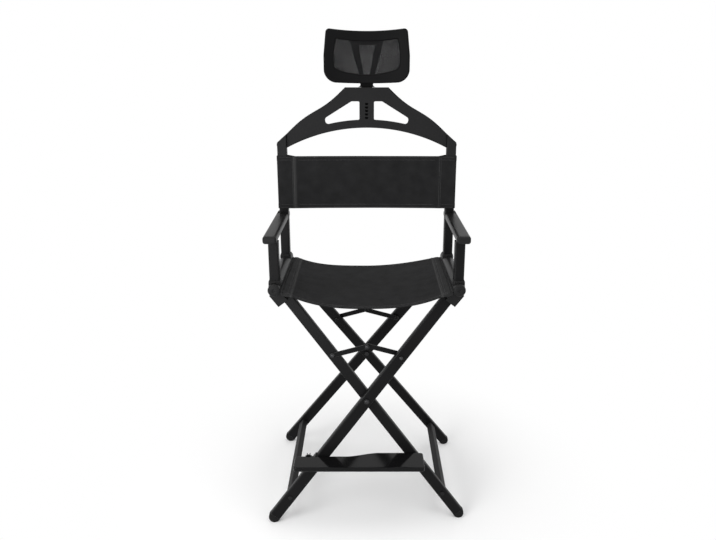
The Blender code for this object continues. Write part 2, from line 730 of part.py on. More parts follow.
def make_post(side, y, low, high, slotted):
    """Square tube with round edges; a slotted post opens outwards at its top to let a spigot leave it."""
    half = POST_HALF - POST_WALL
    tools = [box((-half, -half, low - POST_SIZE), (half, half, high + POST_SIZE))]
    if slotted:
        tools.append(box((0.0, -half, high - SOCKET_DEPTH), (POST_SIZE, half, high + POST_SIZE)))
    shape = prism(rounded_rectangle(POST_SIZE, POST_SIZE, POST_CORNER, POST_CORNER, 3), "Z", low, high)
    return flipped(moved(cut(shape, *tools), (0.0, y, 0.0)), side)


def saddle_screw_height():
    """Height of the screw in the side of a saddle."""
    return (SADDLE_LOW + SADDLE_STEP_HEIGHT) / 2


def make_saddle(side, y):
    """Stepped fitting that stands on the tube and holds the foot of a post, with its screw head."""
    half = SADDLE_SIZE / 2
    base = box((-half, y - half, SADDLE_LOW), (half, y + half, SADDLE_STEP_HEIGHT))
    eased(base, SADDLE_EDGE, 2, runs_along(2))
    head = rod("X", SCREW_HEAD_RADIUS, half - SADDLE_EDGE, half + SCREW_HEAD_LENGTH, (y, saddle_screw_height()))
    half = SADDLE_COLLAR_SIZE / 2
    collar = box((-half, y - half, SADDLE_STEP_HEIGHT - SADDLE_EDGE), (half, y + half, SADDLE_HEIGHT))
    eased(collar, SADDLE_EDGE, 2, runs_along(2))
    seat = rod("Y", TUBE_RADIUS + FIT_GAP, y - SADDLE_SIZE, y + SADDLE_SIZE, (0.0, 0.0), FINE)
    opening = POST_SIZE + 2 * HOLE_GAP
    hollow = rounded_rectangle(opening, opening, POST_CORNER, POST_CORNER, 3)
    socket = moved(prism(hollow, "Z", 0.0, 2 * SADDLE_HEIGHT), (0.0, y, 0.0))
    return flipped(cut(fused(base, collar, head), seat, socket), side)


def arm_screw_height():
    """Height of the screw that holds the arm to the rear post."""
    return ARM_TOP - ARM_THICKNESS / 2


def make_arm(side):
    """Hollow armrest, notched round the rear post, with its screw head."""
    low, high = ARM_OFFSET - ARM_WIDTH / 2, ARM_OFFSET + ARM_WIDTH / 2
    front = ARM_FRONT + ARM_CAP_LENGTH + FIT_GAP
    shape = box((low, front, ARM_TOP - ARM_THICKNESS), (high, ARM_REAR, ARM_TOP))
    eased(shape, ARM_EDGE, 3, runs_along(1))
    gap = POST_HALF + HOLE_GAP
    notch = box((low - POST_SIZE, REAR_POST_Y - gap, ARM_TOP - 2 * ARM_THICKNESS),
                (gap, REAR_POST_Y + gap, ARM_TOP + ARM_THICKNESS))
    bore = box((low + ARM_WALL, front - ARM_CAP_LENGTH, ARM_TOP - ARM_THICKNESS + ARM_WALL),
               (high - ARM_WALL, REAR_POST_Y - gap - ARM_WALL, ARM_TOP - ARM_WALL))
    head = rod("X", SCREW_HEAD_RADIUS, high - ARM_EDGE, high + SCREW_HEAD_LENGTH,
               (REAR_POST_Y, arm_screw_height()))
    return flipped(cut(fused(shape, head), notch, bore), side)


def make_arm_cap(side):
    """Rounded cap on the front end of an armrest."""
    low, high = ARM_OFFSET - ARM_WIDTH / 2, ARM_OFFSET + ARM_WIDTH / 2
    back = ARM_FRONT + ARM_CAP_LENGTH
    shape = box((low, ARM_FRONT, ARM_TOP - ARM_THICKNESS), (high, back, ARM_TOP))
    eased(shape, ARM_EDGE, 3, runs_along(1))
    eased(shape, ARM_CAP_EDGE, 3, lies_at(1, (ARM_FRONT,)))
    return flipped(shape, side)


def grid_solid(upper, lower, kept):
    """Closed sheet between two grids of points of the same size, over the cells that are kept."""
    shape = bmesh.new()
    tops = [[shape.verts.new(point) for point in row] for row in upper]
    bases = [[shape.verts.new(point) for point in row] for row in lower]
    rim = {}
    for row, column in zip(*np.nonzero(kept)):
        corners = [(row, column), (row + 1, column), (row + 1, column + 1), (row, column + 1)]
        for sheet in (tops, bases):
            shape.faces.new([sheet[place_row][place_column] for place_row, place_column in corners])
        for first, second in zip(corners, corners[1:] + corners[:1]):
            if rim.pop((second, first), None) is None:
                rim[(first, second)] = True
    for (row, column), (next_row, next_column) in rim:
        shape.faces.new((tops[row][column], tops[next_row][next_column], bases[next_row][next_column],
                         bases[row][column]))
    loose = [vert for vert in shape.verts if not vert.link_faces]
    bmesh.ops.delete(shape, geom=loose, context="VERTS")
    bmesh.ops.recalc_face_normals(shape, faces=shape.faces)
    return shape


def make_seat_canvas():
    """Seat sheet that sags between the tubes, with its hems in the tube grooves."""
    inner = groove_point(GROOVE_DEPTH + ROD_RADIUS + FIT_GAP, 0.0)
    mouth = groove_point(TUBE_RADIUS + CANVAS, 0.0)
    inner = (SEAT_HALF + inner[0], inner[1])
    mouth = (SEAT_HALF + mouth[0], mouth[1])
    shares = np.linspace(-1.0, 1.0, SEAT_COLUMNS + 1)
    upper = []
    lower = []
    for share in np.linspace(0.0, 1.0, SEAT_ROWS + 1):
        y = TUBE_FRONT + SEAT_MARGIN + (TUBE_LENGTH - 2 * SEAT_MARGIN) * share
        sag = SEAT_SAG_FRONT + (SEAT_SAG_REAR - SEAT_SAG_FRONT) * share
        xs = np.concatenate(([-inner[0]], mouth[0] * shares, [inner[0]]))
        heights = mouth[1] - sag * (1.0 - np.abs(shares) ** SEAT_SAG_POWER)
        zs = np.concatenate(([inner[1]], heights, [inner[1]]))
        slope = np.gradient(zs, xs)
        slope[0], slope[-1] = -math.tan(GROOVE_DROP), math.tan(GROOVE_DROP)
        slope[1], slope[-2] = slope[0], slope[-1]
        norm = np.sqrt(1.0 + slope ** 2)
        offset = np.stack((-slope / norm, np.zeros_like(xs), 1.0 / norm), axis=1) * CANVAS / 2
        middle = np.stack((xs, np.full_like(xs, y), zs + SEAT_HEIGHT), axis=1)
        upper.append(middle + offset)
        lower.append(middle - offset)
    return grid_solid(np.array(upper), np.array(lower), np.full((SEAT_ROWS, SEAT_COLUMNS + 2), True))


def make_back_canvas():
    """Back sheet in front of the posts, sewn into a sleeve round each rear post."""
    room = POST_HALF + CANVAS_SLACK
    front = REAR_POST_Y - room - CANVAS
    back = REAR_POST_Y + room + CANVAS
    outer = SEAT_HALF + room + CANVAS
    seam = outer - SLEEVE_WIDTH
    half = [(seam, front + BACK_PANEL), (SEAT_HALF - room - CANVAS, back), (outer, back), (outer, front)]
    outline = half + [(-x, y) for x, y in reversed(half)]
    low = SEAT_HEIGHT + BACK_CANVAS_LOW
    high = low + BACK_CANVAS_HEIGHT
    shape = prism(outline, "Z", low, high)
    eased(shape, SLEEVE_CORNER, 3,
          lambda edge: runs_along(2)(edge) and abs(abs(edge.verts[0].co.x) - outer) < 1e-6)
    tunnel = [(seam + BACK_PANEL, front + CANVAS), (SEAT_HALF + room, front + CANVAS),
              (SEAT_HALF + room, back - CANVAS), (SEAT_HALF - room, back - CANVAS),
              (seam + BACK_PANEL, front + BACK_PANEL)]
    tools = [flipped(prism(tunnel, "Z", low - BACK_PANEL, high + BACK_PANEL), side) for side in (RIGHT, LEFT)]
    return cut(shape, *tools)


def shoulder_height(x):
    """Upper edge of the hanger at a distance from its middle, above the post tops."""
    end = SEAT_HALF - POST_HALF
    share = (x - HANGER_TOP_HALF) / (end - HANGER_TOP_HALF)
    line = HANGER_TOP + (HANGER_SHOULDER_LOW - HANGER_TOP) * share
    return line - HANGER_WAVE * math.sin(2.0 * math.pi * share)


def arch_height(x):
    """Lower edge of the hanger at a distance from its middle, above the post tops."""
    end = SEAT_HALF - POST_HALF
    rise = HANGER_ARCH_TOP - HANGER_ARCH_LOW
    radius = (end ** 2 + rise ** 2) / (2.0 * rise)
    return HANGER_ARCH_TOP - radius + math.sqrt(radius ** 2 - x ** 2)


def make_hanger():
    """Hanger plate between the uprights, with two cut-outs and a row of ratchet notches."""
    end = SEAT_HALF - POST_HALF - FIT_GAP
    shoulder = [(x, shoulder_height(x)) for x in np.linspace(HANGER_TOP_HALF, end, 15)]
    arch = [(x, arch_height(x)) for x in np.linspace(end, -end, 29)]
    outline = shoulder + arch + [(-x, z) for x, z in reversed(shoulder)]
    half = HANGER_THICKNESS / 2
    shape = prism(outline, "Y", -half, half)
    eased(shape, HANGER_EDGE, 2, lies_at(1, (-half, half)))
    tip = CUTOUT_TIP_HALF - CUTOUT_CORNER
    hole = [(CUTOUT_BAR_HALF, CUTOUT_TOP), (CUTOUT_TOP_HALF, CUTOUT_TOP), (CUTOUT_TIP_HALF, CUTOUT_TIP_HEIGHT)]
    hole += [(x, arch_height(x) + CUTOUT_BAND) for x in np.linspace(tip, CUTOUT_BAR_HALF, 8)]
    tools = []
    for side in (RIGHT, LEFT):
        tool = prism(hole, "Y", -HANGER_THICKNESS, HANGER_THICKNESS)
        eased(tool, CUTOUT_CORNER, 3, lambda edge: runs_along(1)(edge) and edge.calc_face_angle(0.0) > 0.6)
        tools.append(flipped(tool, side))
    for index in range(NOTCH_COUNT):
        top = NOTCH_TOP - index * NOTCH_PITCH
        notch = [(-NOTCH_WIDTH / 2, top), (NOTCH_WIDTH / 2, top), (0.0, top - NOTCH_HEIGHT)]
        tools.append(prism(notch, "Y", -HANGER_THICKNESS, HANGER_THICKNESS))
    return cut(shape, *tools)


def bracket_screw_height():
    """Height of the screws that hold the hanger to its uprights, above the post tops."""
    return (HANGER_ARCH_LOW + UPRIGHT_HEIGHT) / 2


def make_upright(side):
    """Upright on a rear post, with a slanted top, a screw head and a spigot that plugs into the post."""
    outline = [(-POST_HALF, FIT_GAP), (POST_HALF, FIT_GAP), (POST_HALF, UPRIGHT_HEIGHT),
               (-POST_HALF, HANGER_SHOULDER_LOW)]
    body = prism(outline, "Y", -POST_HALF, POST_HALF)
    eased(body, UPRIGHT_EDGE, 2, lambda edge: not lies_at(2, (FIT_GAP,))(edge))
    half = POST_HALF - POST_WALL - HOLE_GAP
    spigot = box((-half, -half, -SPIGOT_LENGTH), (half, half, UPRIGHT_HEIGHT / 4))
    head = rod("X", SCREW_HEAD_RADIUS, half, POST_HALF + SCREW_HEAD_LENGTH, (0.0, bracket_screw_height()))
    return moved(flipped(fused(body, spigot, head), side), (side * SEAT_HALF, 0.0, 0.0))


def stem_depth():
    """Depth of the stem's middle plane behind the hanger's middle plane."""
    return HANGER_THICKNESS / 2 + FIT_GAP + GUIDE_WALL + RUN_GAP + STEM_THICKNESS / 2


def make_guide():
    """Sleeve behind the hanger's middle bar in which the stem slides."""
    half_x = STEM_WIDTH / 2 + RUN_GAP
    half_y = STEM_THICKNESS / 2 + RUN_GAP
    y = stem_depth()
    outer = box((-half_x - GUIDE_WALL, y - half_y - GUIDE_WALL, GUIDE_LOW),
                (half_x + GUIDE_WALL, y + half_y + GUIDE_WALL, GUIDE_HIGH))
    eased(outer, GUIDE_WALL / 3, 2, runs_along(2))
    slot = box((-half_x, y - half_y, GUIDE_LOW - GUIDE_WALL), (half_x, y + half_y, GUIDE_HIGH + GUIDE_WALL))
    return cut(outer, slot)


def make_stem():
    """Flat stem of the headrest, with a knuckle on its top for the tilt pin."""
    half_x, half_y = STEM_WIDTH / 2, STEM_THICKNESS / 2
    high = TILT_HEIGHT - STEM_DROP
    bar = box((-half_x, -half_y, STEM_LOW), (half_x, half_y, high))
    eased(bar, STEM_EDGE, 2, runs_along(2))
    half_x = KNUCKLE_WIDTH / 2
    barrel = rod("X", KNUCKLE_RADIUS, -half_x, half_x, (0.0, TILT_HEIGHT), ROUND)
    neck = box((-half_x, -half_y + STEM_EDGE, high - STEM_WIDTH), (half_x, half_y - STEM_EDGE, TILT_HEIGHT))
    hole = rod("X", TILT_PIN_RADIUS + FIT_GAP, -KNUCKLE_WIDTH, KNUCKLE_WIDTH, (0.0, TILT_HEIGHT), ROUND)
    return cut(fused(bar, neck, barrel), hole)


def make_tilt_pin():
    """Headed pin through the knuckle and the lugs of the fork."""
    half = TILT_PIN_LENGTH / 2
    bar = rod("X", TILT_PIN_RADIUS, -half, half, (0.0, 0.0))
    overlap = TILT_PIN_HEAD_LENGTH / 2
    heads = [rod("X", TILT_PIN_HEAD, side * (half - overlap), side * (half + overlap), (0.0, 0.0))
             for side in (RIGHT, LEFT)]
    return fused(bar, *heads)


def headrest_bend(x):
    """Forward reach of the headrest at a distance from its middle."""
    return -HEADREST_BEND * (2.0 * x / HEADREST_WIDTH) ** 2


def headrest_outline(width, height, corner, base_corner, taper, dip, bulge, middle):
    """Round-cornered outline about the tilt axis, narrower at its top, which dips, with a bulging base."""
    points = []
    for x, z in rounded_rectangle(width, height, corner, base_corner, CORNER_STEPS, EDGE_STEPS):
        rise = 2.0 * z / height
        upper, lower = max(rise, 0.0), max(-rise, 0.0)
        crown = 1.0 - (2.0 * x / width) ** 2
        points.append((x * (1.0 - taper * upper), middle + z - crown * (dip * upper + bulge * lower)))
    return points


def rim_outline():
    """Outer outline of the headrest rim."""
    return headrest_outline(HEADREST_WIDTH, HEADREST_HEIGHT, HEADREST_CORNER, HEADREST_BASE_CORNER,
                            HEADREST_TAPER, HEADREST_DIP, HEADREST_BULGE, HEADREST_HEIGHT / 2 - HEADREST_DROP)


def window_outline():
    """Outline of the window in the headrest rim."""
    return headrest_outline(WINDOW_WIDTH, WINDOW_HEIGHT, WINDOW_CORNER, WINDOW_BASE_CORNER, WINDOW_TAPER,
                            WINDOW_DIP, WINDOW_BULGE, WINDOW_MIDDLE)


def headrest_face():
    """Depth of the rear face of the headrest rim behind the tilt axis."""
    return -KNUCKLE_RADIUS - FORK_THICKNESS - 2 * RUN_GAP


def make_rim():
    """Rounded plastic rim of the headrest, bent forward at its two ends."""
    half = HEADREST_THICKNESS / 2
    slim = half - HEADREST_RIM_EDGE / 2
    section = [(0.0, -slim), (0.25, -half), (0.75, -half), (1.0, -slim),
               (1.0, slim), (0.75, half), (0.25, half), (0.0, slim)]
    middle = headrest_face() - half
    shape = bmesh.new()
    rings = []
    for (far_x, far_z), (near_x, near_z) in zip(rim_outline(), window_outline()):
        ring = []
        for share, depth in section:
            x, z = near_x + (far_x - near_x) * share, near_z + (far_z - near_z) * share
            ring.append(shape.verts.new((x, middle + depth + headrest_bend(x), z)))
        rings.append(ring)
    count = len(section)
    for ring, after in zip(rings, rings[1:] + rings[:1]):
        for index in range(count):
            follow = (index + 1) % count
            shape.faces.new((ring[index], ring[follow], after[follow], after[index]))
    return shape


def make_mesh_panel():
    """Thin mesh sheet that fills the window of the rim."""
    window = window_outline()
    fit = 1.0 - 2.0 * FIT_GAP / WINDOW_HEIGHT
    middle = headrest_face() - HEADREST_THICKNESS / 2
    shape = bmesh.new()
    sheets = []
    for depth in (-MESH_THICKNESS / 2, MESH_THICKNESS / 2):
        rings = []
        for step in range(MESH_ROWS):
            size = fit * (MESH_ROWS - step) / MESH_ROWS
            ring = []
            for flat_x, flat_z in window:
                x, z = flat_x * size, WINDOW_MIDDLE + (flat_z - WINDOW_MIDDLE) * size
                ring.append(shape.verts.new((x, middle + depth + headrest_bend(x), z)))
            rings.append(ring)
        hub = shape.verts.new((0.0, middle + depth, WINDOW_MIDDLE))
        for ring, inner in zip(rings, rings[1:]):
            for index in range(len(window)):
                follow = (index + 1) % len(window)
                shape.faces.new((ring[index], ring[follow], inner[follow], inner[index]))
        for index in range(len(window)):
            shape.faces.new((rings[-1][index], rings[-1][(index + 1) % len(window)], hub))
        sheets.append(rings[0])
    for index in range(len(window)):
        follow = (index + 1) % len(window)
        shape.faces.new((sheets[0][index], sheets[0][follow], sheets[1][follow], sheets[1][index]))
    return shape


def fork_levels():
    """Levels of the fork above the tilt axis: base, crotch, arms up to the crossbar, top."""
    bar = WINDOW_MIDDLE + WINDOW_HEIGHT / 2 - FORK_BAR_DROP
    top = HEADREST_HEIGHT - HEADREST_DROP - FORK_TOP_DROP
    return np.concatenate(([-FORK_DROP], np.linspace(FORK_CROTCH_HEIGHT, bar, FORK_STEPS), [top]))


def make_fork():
    """Forked support behind the rim, with a crossbar at its top and two lugs on the tilt pin."""
    front = headrest_face() + RUN_GAP
    rear = front + FORK_THICKNESS
    levels = fork_levels()
    sheet = []
    for level in levels:
        share = (level - levels[0]) / (levels[-1] - levels[0])
        inner = FORK_LOW_INNER + (FORK_HIGH_INNER - FORK_LOW_INNER) * share
        outer = FORK_LOW_OUTER + (FORK_HIGH_OUTER - FORK_LOW_OUTER) * share
        xs = np.concatenate(([-outer], np.linspace(-inner, inner, FORK_COLUMNS + 1), [outer]))
        sheet.append(np.stack((xs, front + headrest_bend(xs), np.full_like(xs, level)), axis=1))
    sheet = np.array(sheet)
    kept = np.full((len(levels) - 1, FORK_COLUMNS + 2), True)
    kept[1:-1, 1:-1] = False
    shape = grid_solid(sheet, sheet + np.array((0.0, FORK_THICKNESS, 0.0)), kept)
    lugs = []
    for side in (RIGHT, LEFT):
        near = side * (KNUCKLE_WIDTH / 2 + RUN_GAP)
        far = near + side * LUG_WIDTH
        barrel = rod("X", KNUCKLE_RADIUS, near, far, (0.0, 0.0), ROUND)
        web = box((min(near, far), (front + rear) / 2, -LUG_HALF), (max(near, far), 0.0, LUG_HALF))
        lugs.append(fused(barrel, web))
    hole = rod("X", TILT_PIN_RADIUS + FIT_GAP, -HEADREST_WIDTH / 4, HEADREST_WIDTH / 4, (0.0, 0.0), ROUND)
    return cut(fused(shape, *lugs), hole)


def footrest_pin_height():
    """Height of the footrest pin above the floor."""
    return FOOTREST_TOP - FOOTREST_THICKNESS / 2


def footrest_pin_place():
    """Footrest pin in the frame of leg B: outward distance and reach along the leg."""
    outward = -LEG_B_WIDTH / 2 - FOOTREST_PIN_OFFSET
    return outward, (footrest_pin_height() - PIVOT_HEIGHT + outward * SIN_LEAN) / COS_LEAN


def footrest_pin_x():
    """Distance of the footrest pin from the middle of the chair."""
    outward, reach = footrest_pin_place()
    return outward * COS_LEAN + reach * SIN_LEAN


def leg_front(frame):
    """Foremost depth of a front leg beside the footrest."""
    low = FOOTREST_TOP - FOOTREST_THICKNESS - PIVOT_HEIGHT
    reach = (low - leg_width(frame) / 2 * SIN_LEAN) / COS_LEAN
    return -(leg_depth(frame, reach) + LEG_DEPTH / 2)


def make_footrest():
    """Glossy footrest plate whose rear edge steps back in front of the inner leg."""
    left_rear = leg_front(FRAME_B) - RUN_GAP
    right_rear = leg_front(FRAME_A) - FOOTREST_LEG_GAP
    front = left_rear - FOOTREST_DEPTH
    left = footrest_pin_x() - FOOTREST_LEFT_END
    right = -peg_reach() * SIN_LEAN + FOOTREST_RIGHT_END
    wave = []
    for step in range(FOOTREST_WAVE_STEPS + 1):
        share = step / FOOTREST_WAVE_STEPS
        x = FOOTREST_WAVE_RIGHT + (FOOTREST_WAVE_LEFT - FOOTREST_WAVE_RIGHT) * share
        ease = share * share * (3.0 - 2.0 * share)
        wave.append((x, right_rear + (left_rear - right_rear) * ease))
    outline = [(left, front), (right, front), (right, right_rear), *wave, (left, left_rear)]
    base = FOOTREST_TOP - FOOTREST_THICKNESS
    shape = prism(outline, "Z", base, FOOTREST_TOP)
    eased(shape, FOOTREST_CORNER, 4, lambda edge: runs_along(2)(edge) and edge.calc_face_angle(0.0) > 0.8)
    eased(shape, FOOTREST_EDGE, 2, lies_at(2, (base, FOOTREST_TOP)))
    bore = rod("Y", FOOTREST_PIN_RADIUS + HOLE_GAP, left_rear - FOOTREST_PIN_DEPTH - HOLE_GAP,
               left_rear + RUN_GAP, (footrest_pin_x(), footrest_pin_height()))
    shape = cut(shape, bore)
    return moved(shape, (-footrest_pin_x(), 0.0, -footrest_pin_height()))


def make_footrest_bracket():
    """Angle bracket on leg B that holds the footrest pin."""
    outward, reach = footrest_pin_place()
    side_face = -LEG_B_WIDTH / 2 - FIT_GAP
    front = leg_front(FRAME_B)
    flange = box((side_face - BRACKET_THICKNESS, front, reach - BRACKET_FLANGE_HALF),
                 (side_face, front + BRACKET_FLANGE_DEPTH, reach + BRACKET_FLANGE_HALF))
    web = box((outward, front, reach - BRACKET_LUG),
              (side_face - BRACKET_THICKNESS / 2, front + BRACKET_THICKNESS, reach + BRACKET_LUG))
    lug = rod("Y", BRACKET_LUG, front, front + BRACKET_THICKNESS, (outward, reach), ROUND)
    hole = rod("Y", FOOTREST_PIN_RADIUS + HOLE_GAP, front - BRACKET_LUG, front + BRACKET_LUG, (outward, reach))
    return cut(fused(web, lug, flange), hole)


def make_footrest_pin():
    """Knobbed pin from behind the bracket into the footrest."""
    outward, reach = footrest_pin_place()
    front = leg_front(FRAME_B)
    back = front + BRACKET_THICKNESS + FIT_GAP
    tip = front - RUN_GAP - FOOTREST_PIN_DEPTH
    return headed_bolt("Y", (outward, reach), back, tip, FOOTREST_PIN_RADIUS, FOOTREST_KNOB_RADIUS,
                       FOOTREST_KNOB_LENGTH)


def make_peg():
    """Peg on the front leg of frame A on which the footrest lies."""
    reach = peg_reach()
    face = -(leg_depth(FRAME_A, reach) + LEG_DEPTH / 2)
    return flipped(rod("Y", PEG_RADIUS, face - PEG_LENGTH, face + PEG_SEAT, (0.0, reach)), FRAME_A)


def build_leg_frames(root):
    """Both crossed leg frames."""
    carriers = {}
    for frame, letter in ((FRAME_B, "b"), (FRAME_A, "a")):
        carrier = empty("frame_" + letter, (0.0, 0.0, PIVOT_HEIGHT), root, frame * LEG_LEAN)
        carriers[frame] = carrier
        for end, word in ((FRONT, "front"), (REAR, "rear")):
            place("leg_%s_%s" % (letter, word), make_leg(frame, end), "metal", carrier)
            place("foot_%s_%s" % (letter, word), make_foot(frame, end), "plastic", carrier)
            place("end_block_%s_%s" % (letter, word), make_end_block(frame, end), "plastic", carrier)
            place("hinge_clip_%s_%s" % (letter, word), make_clip(frame, end), "metal", carrier)
        place("lower_rail_" + letter, make_lower_rail(frame), "metal", carrier)
        place("top_rail_" + letter, make_top_rail(frame), "metal", carrier)
    for end, word in ((FRONT, "front"), (REAR, "rear")):
        place("pivot_rivet_" + word, make_pivot_rivet(end), "steel", carriers[FRAME_B])
    place("footrest_bracket", make_footrest_bracket(), "metal", carriers[FRAME_B])
    place("footrest_pin", make_footrest_pin(), "steel", carriers[FRAME_B])
    place("footrest_peg", make_peg(), "plastic", carriers[FRAME_A])


def build_links(root):
    """Four spreader links, each on its own leg bolt."""
    for side, side_name in ((RIGHT, "right"), (LEFT, "left")):
        x, z = link_bolt_place(side)
        for end, end_name in ((FRONT, "front"), (REAR, "rear")):
            name = "link_%s_%s" % (end_name, side_name)
            carrier = empty(name + "_axis", (x, 0.0, z), root)
            place(name, make_link(side, end), "metal", carrier)


def build_sides(root):
    """Both side frames with their tubes, posts and arms; returns their empties."""
    carriers = {}
    arm_base = ARM_TOP - ARM_THICKNESS - FIT_GAP
    for side, word in ((RIGHT, "right"), (LEFT, "left")):
        carrier = empty("side_" + word, (side * SEAT_HALF, 0.0, SEAT_HEIGHT), root)
        carriers[side] = carrier
        place("seat_tube_" + word, make_seat_tube(side), "metal", carrier)
        place("tube_plug_" + word, make_tube_plug(side), "plastic", carrier)
        place("canvas_rod_" + word, make_canvas_rod(side), "steel", carrier)
        place("front_post_" + word, make_post(side, FRONT_POST_Y, POST_FOOT, arm_base, False), "metal", carrier)
        rear_post = make_post(side, REAR_POST_Y, POST_FOOT, REAR_POST_HEIGHT, side == LEFT)
        place("rear_post_" + word, rear_post, "metal", carrier)
        place("front_saddle_" + word, make_saddle(side, FRONT_POST_Y), "plastic", carrier)
        place("rear_saddle_" + word, make_saddle(side, REAR_POST_Y), "plastic", carrier)
        place("armrest_" + word, make_arm(side), "metal", carrier)
        place("arm_cap_" + word, make_arm_cap(side), "plastic", carrier)
    return carriers


def build_canvas(carrier):
    """Seat and back canvas, carried with the right side."""
    offset = (-SEAT_HALF, 0.0, -SEAT_HEIGHT)
    place("seat_canvas", make_seat_canvas(), "canvas", carrier, offset)
    place("back_canvas", make_back_canvas(), "canvas", carrier, offset)


def build_head(root):
    """Head bracket on the rear posts, and the headrest that slides and tilts on it."""
    bracket = empty("head_bracket", (0.0, REAR_POST_Y, BACK_TOP), root)
    place("hanger_plate", make_hanger(), "plastic", bracket)
    for side, word in ((RIGHT, "right"), (LEFT, "left")):
        place("hanger_upright_" + word, make_upright(side), "metal", bracket)
    place("stem_guide", make_guide(), "plastic", bracket)
    slider = empty("headrest_slider", (0.0, stem_depth(), 0.0), bracket)
    place("headrest_stem", make_stem(), "metal", slider)
    tilt = empty("headrest_tilt", (0.0, 0.0, TILT_HEIGHT), slider)
    place("tilt_pin", make_tilt_pin(), "steel", tilt)
    place("headrest_fork", make_fork(), "plastic", tilt)
    place("headrest_rim", make_rim(), "plastic", tilt)
    place("headrest_mesh", make_mesh_panel(), "mesh", tilt)


def build_footrest(root):
    """Footrest plate on its pin."""
    carrier = empty("footrest", (footrest_pin_x(), 0.0, footrest_pin_height()), root)
    place("footrest_plate", make_footrest(), "gloss", carrier)


def centre_on_floor(root):
    """Move the chair so that the middle of its outer box lies over the origin."""
    bpy.context.view_layer.update()
    corners = [item.matrix_world @ vert.co for item in bpy.data.objects if item.type == "MESH"
               for vert in item.data.vertices]
    for axis in (0, 1):
        values = [corner[axis] for corner in corners]
        root.location[axis] = -(min(values) + max(values)) / 2
    bpy.context.view_layer.update()


def main():
    """Build the whole chair."""
    clear_scene()
    root = empty("chair", (0.0, 0.0, 0.0), None)
    build_leg_frames(root)
    build_links(root)
    carriers = build_sides(root)
    build_canvas(carriers[RIGHT])
    build_head(root)
    build_footrest(root)
    centre_on_floor(root)


main()
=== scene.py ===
"""Looks of a folding makeup chair: soft goods, smooth fittings and finishes over the frame."""
import json
import logging
import math
from collections.abc import Callable, Iterable
from dataclasses import dataclass, field
from enum import Enum

import bmesh
import bpy
import numpy as np
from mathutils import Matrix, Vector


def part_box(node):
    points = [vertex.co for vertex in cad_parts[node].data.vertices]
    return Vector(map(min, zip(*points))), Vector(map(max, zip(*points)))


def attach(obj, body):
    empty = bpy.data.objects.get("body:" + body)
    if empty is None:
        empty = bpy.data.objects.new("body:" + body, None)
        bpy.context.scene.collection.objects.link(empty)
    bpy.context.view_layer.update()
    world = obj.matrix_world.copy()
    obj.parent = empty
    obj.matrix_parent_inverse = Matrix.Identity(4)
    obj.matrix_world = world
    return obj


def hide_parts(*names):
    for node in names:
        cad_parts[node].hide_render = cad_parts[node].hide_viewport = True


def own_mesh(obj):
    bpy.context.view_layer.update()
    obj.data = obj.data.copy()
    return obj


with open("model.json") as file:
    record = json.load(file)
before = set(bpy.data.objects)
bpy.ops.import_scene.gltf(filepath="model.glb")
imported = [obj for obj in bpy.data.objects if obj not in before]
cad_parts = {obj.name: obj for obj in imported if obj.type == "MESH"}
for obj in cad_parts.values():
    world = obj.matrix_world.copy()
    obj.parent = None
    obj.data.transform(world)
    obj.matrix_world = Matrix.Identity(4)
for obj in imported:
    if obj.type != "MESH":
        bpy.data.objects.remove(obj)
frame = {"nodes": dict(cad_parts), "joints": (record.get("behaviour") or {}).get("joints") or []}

LOG = logging.getLogger("makeup_chair")
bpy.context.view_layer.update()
AXES = {joint["name"]: np.array(joint["pos_m"]) for joint in frame["joints"] if "pos_m" in joint}
MIDDLE = np.array(((AXES["right_side_turn"][0] + AXES["left_side_turn"][0]) / 2,
                   AXES["fold"][1], 0.0))
LEG_LEAN = math.radians(37.4)
LEG_SPLAY = 0.1025
SHARP_ANGLE = 38.0
WHITE = (1.0, 1.0, 1.0, 1.0)
Array = np.ndarray
Waves = tuple[tuple[float, float, float, float], ...]


class Side(Enum):
    """The two sides of the chair, as seen from in front of it."""

    RIGHT = 1
    LEFT = -1

    @property
    def word(self) -> str:
        """Word that the side's node names end in."""
        return self.name.lower()

    @property
    def body(self) -> str:
        """Body that carries the side frame."""
        return self.word + "_side"

    @property
    def tube(self) -> Array:
        """Point on the axis of the side's seat tube."""
        return AXES[self.word + "_side_turn"]

    @property
    def way(self) -> Array:
        """Way from the middle of the chair outwards on this side."""
        return np.array((float(self.value), 0.0, 0.0))


class End(Enum):
    """Front and rear of the chair."""

    FRONT = -1
    REAR = 1

    @property
    def word(self) -> str:
        """Word that the node names of this end hold."""
        return self.name.lower()

    @property
    def way(self) -> Array:
        """Way from the middle of the chair outwards at this end."""
        return np.array((0.0, float(self.value), 0.0))


class LegFrame(Enum):
    """The two crossed leg frames: way of lean, width of a leg, and its depth at the cross pivot."""

    B = (1, 0.035, 0.1872)
    A = (-1, 0.032, 0.1648)

    def __init__(self, lean: int, width: float, depth: float) -> None:
        """Keep the lean and the sizes."""
        self.lean = lean
        self.width = width
        self.depth = depth

    @property
    def letter(self) -> str:
        """Letter that the frame's node names hold."""
        return self.name.lower()

    @property
    def body(self) -> str:
        """Body of the frame."""
        return "frame_" + self.letter

    def point(self, end: End, outward: Array | float, reach: Array | float,
              shift: Array | float = 0.0) -> Array:
        """Points of a leg in its own directions: the two turned by its lean, and splayed in depth.

        Args:
            end: Front or rear leg.
            outward: Distance across the leg.
            reach: Distance along the leg from the cross pivot, upwards.
            shift: Distance to the rear of the leg's middle plane.

        Returns:
            Points.
        """
        x = self.lean * (outward * math.cos(LEG_LEAN) + reach * math.sin(LEG_LEAN))
        y = end.value * (self.depth - LEG_SPLAY * reach) + shift
        z = reach * math.cos(LEG_LEAN) - outward * math.sin(LEG_LEAN)
        return AXES["fold"] + np.stack(np.broadcast_arrays(x, y, z), axis=-1)


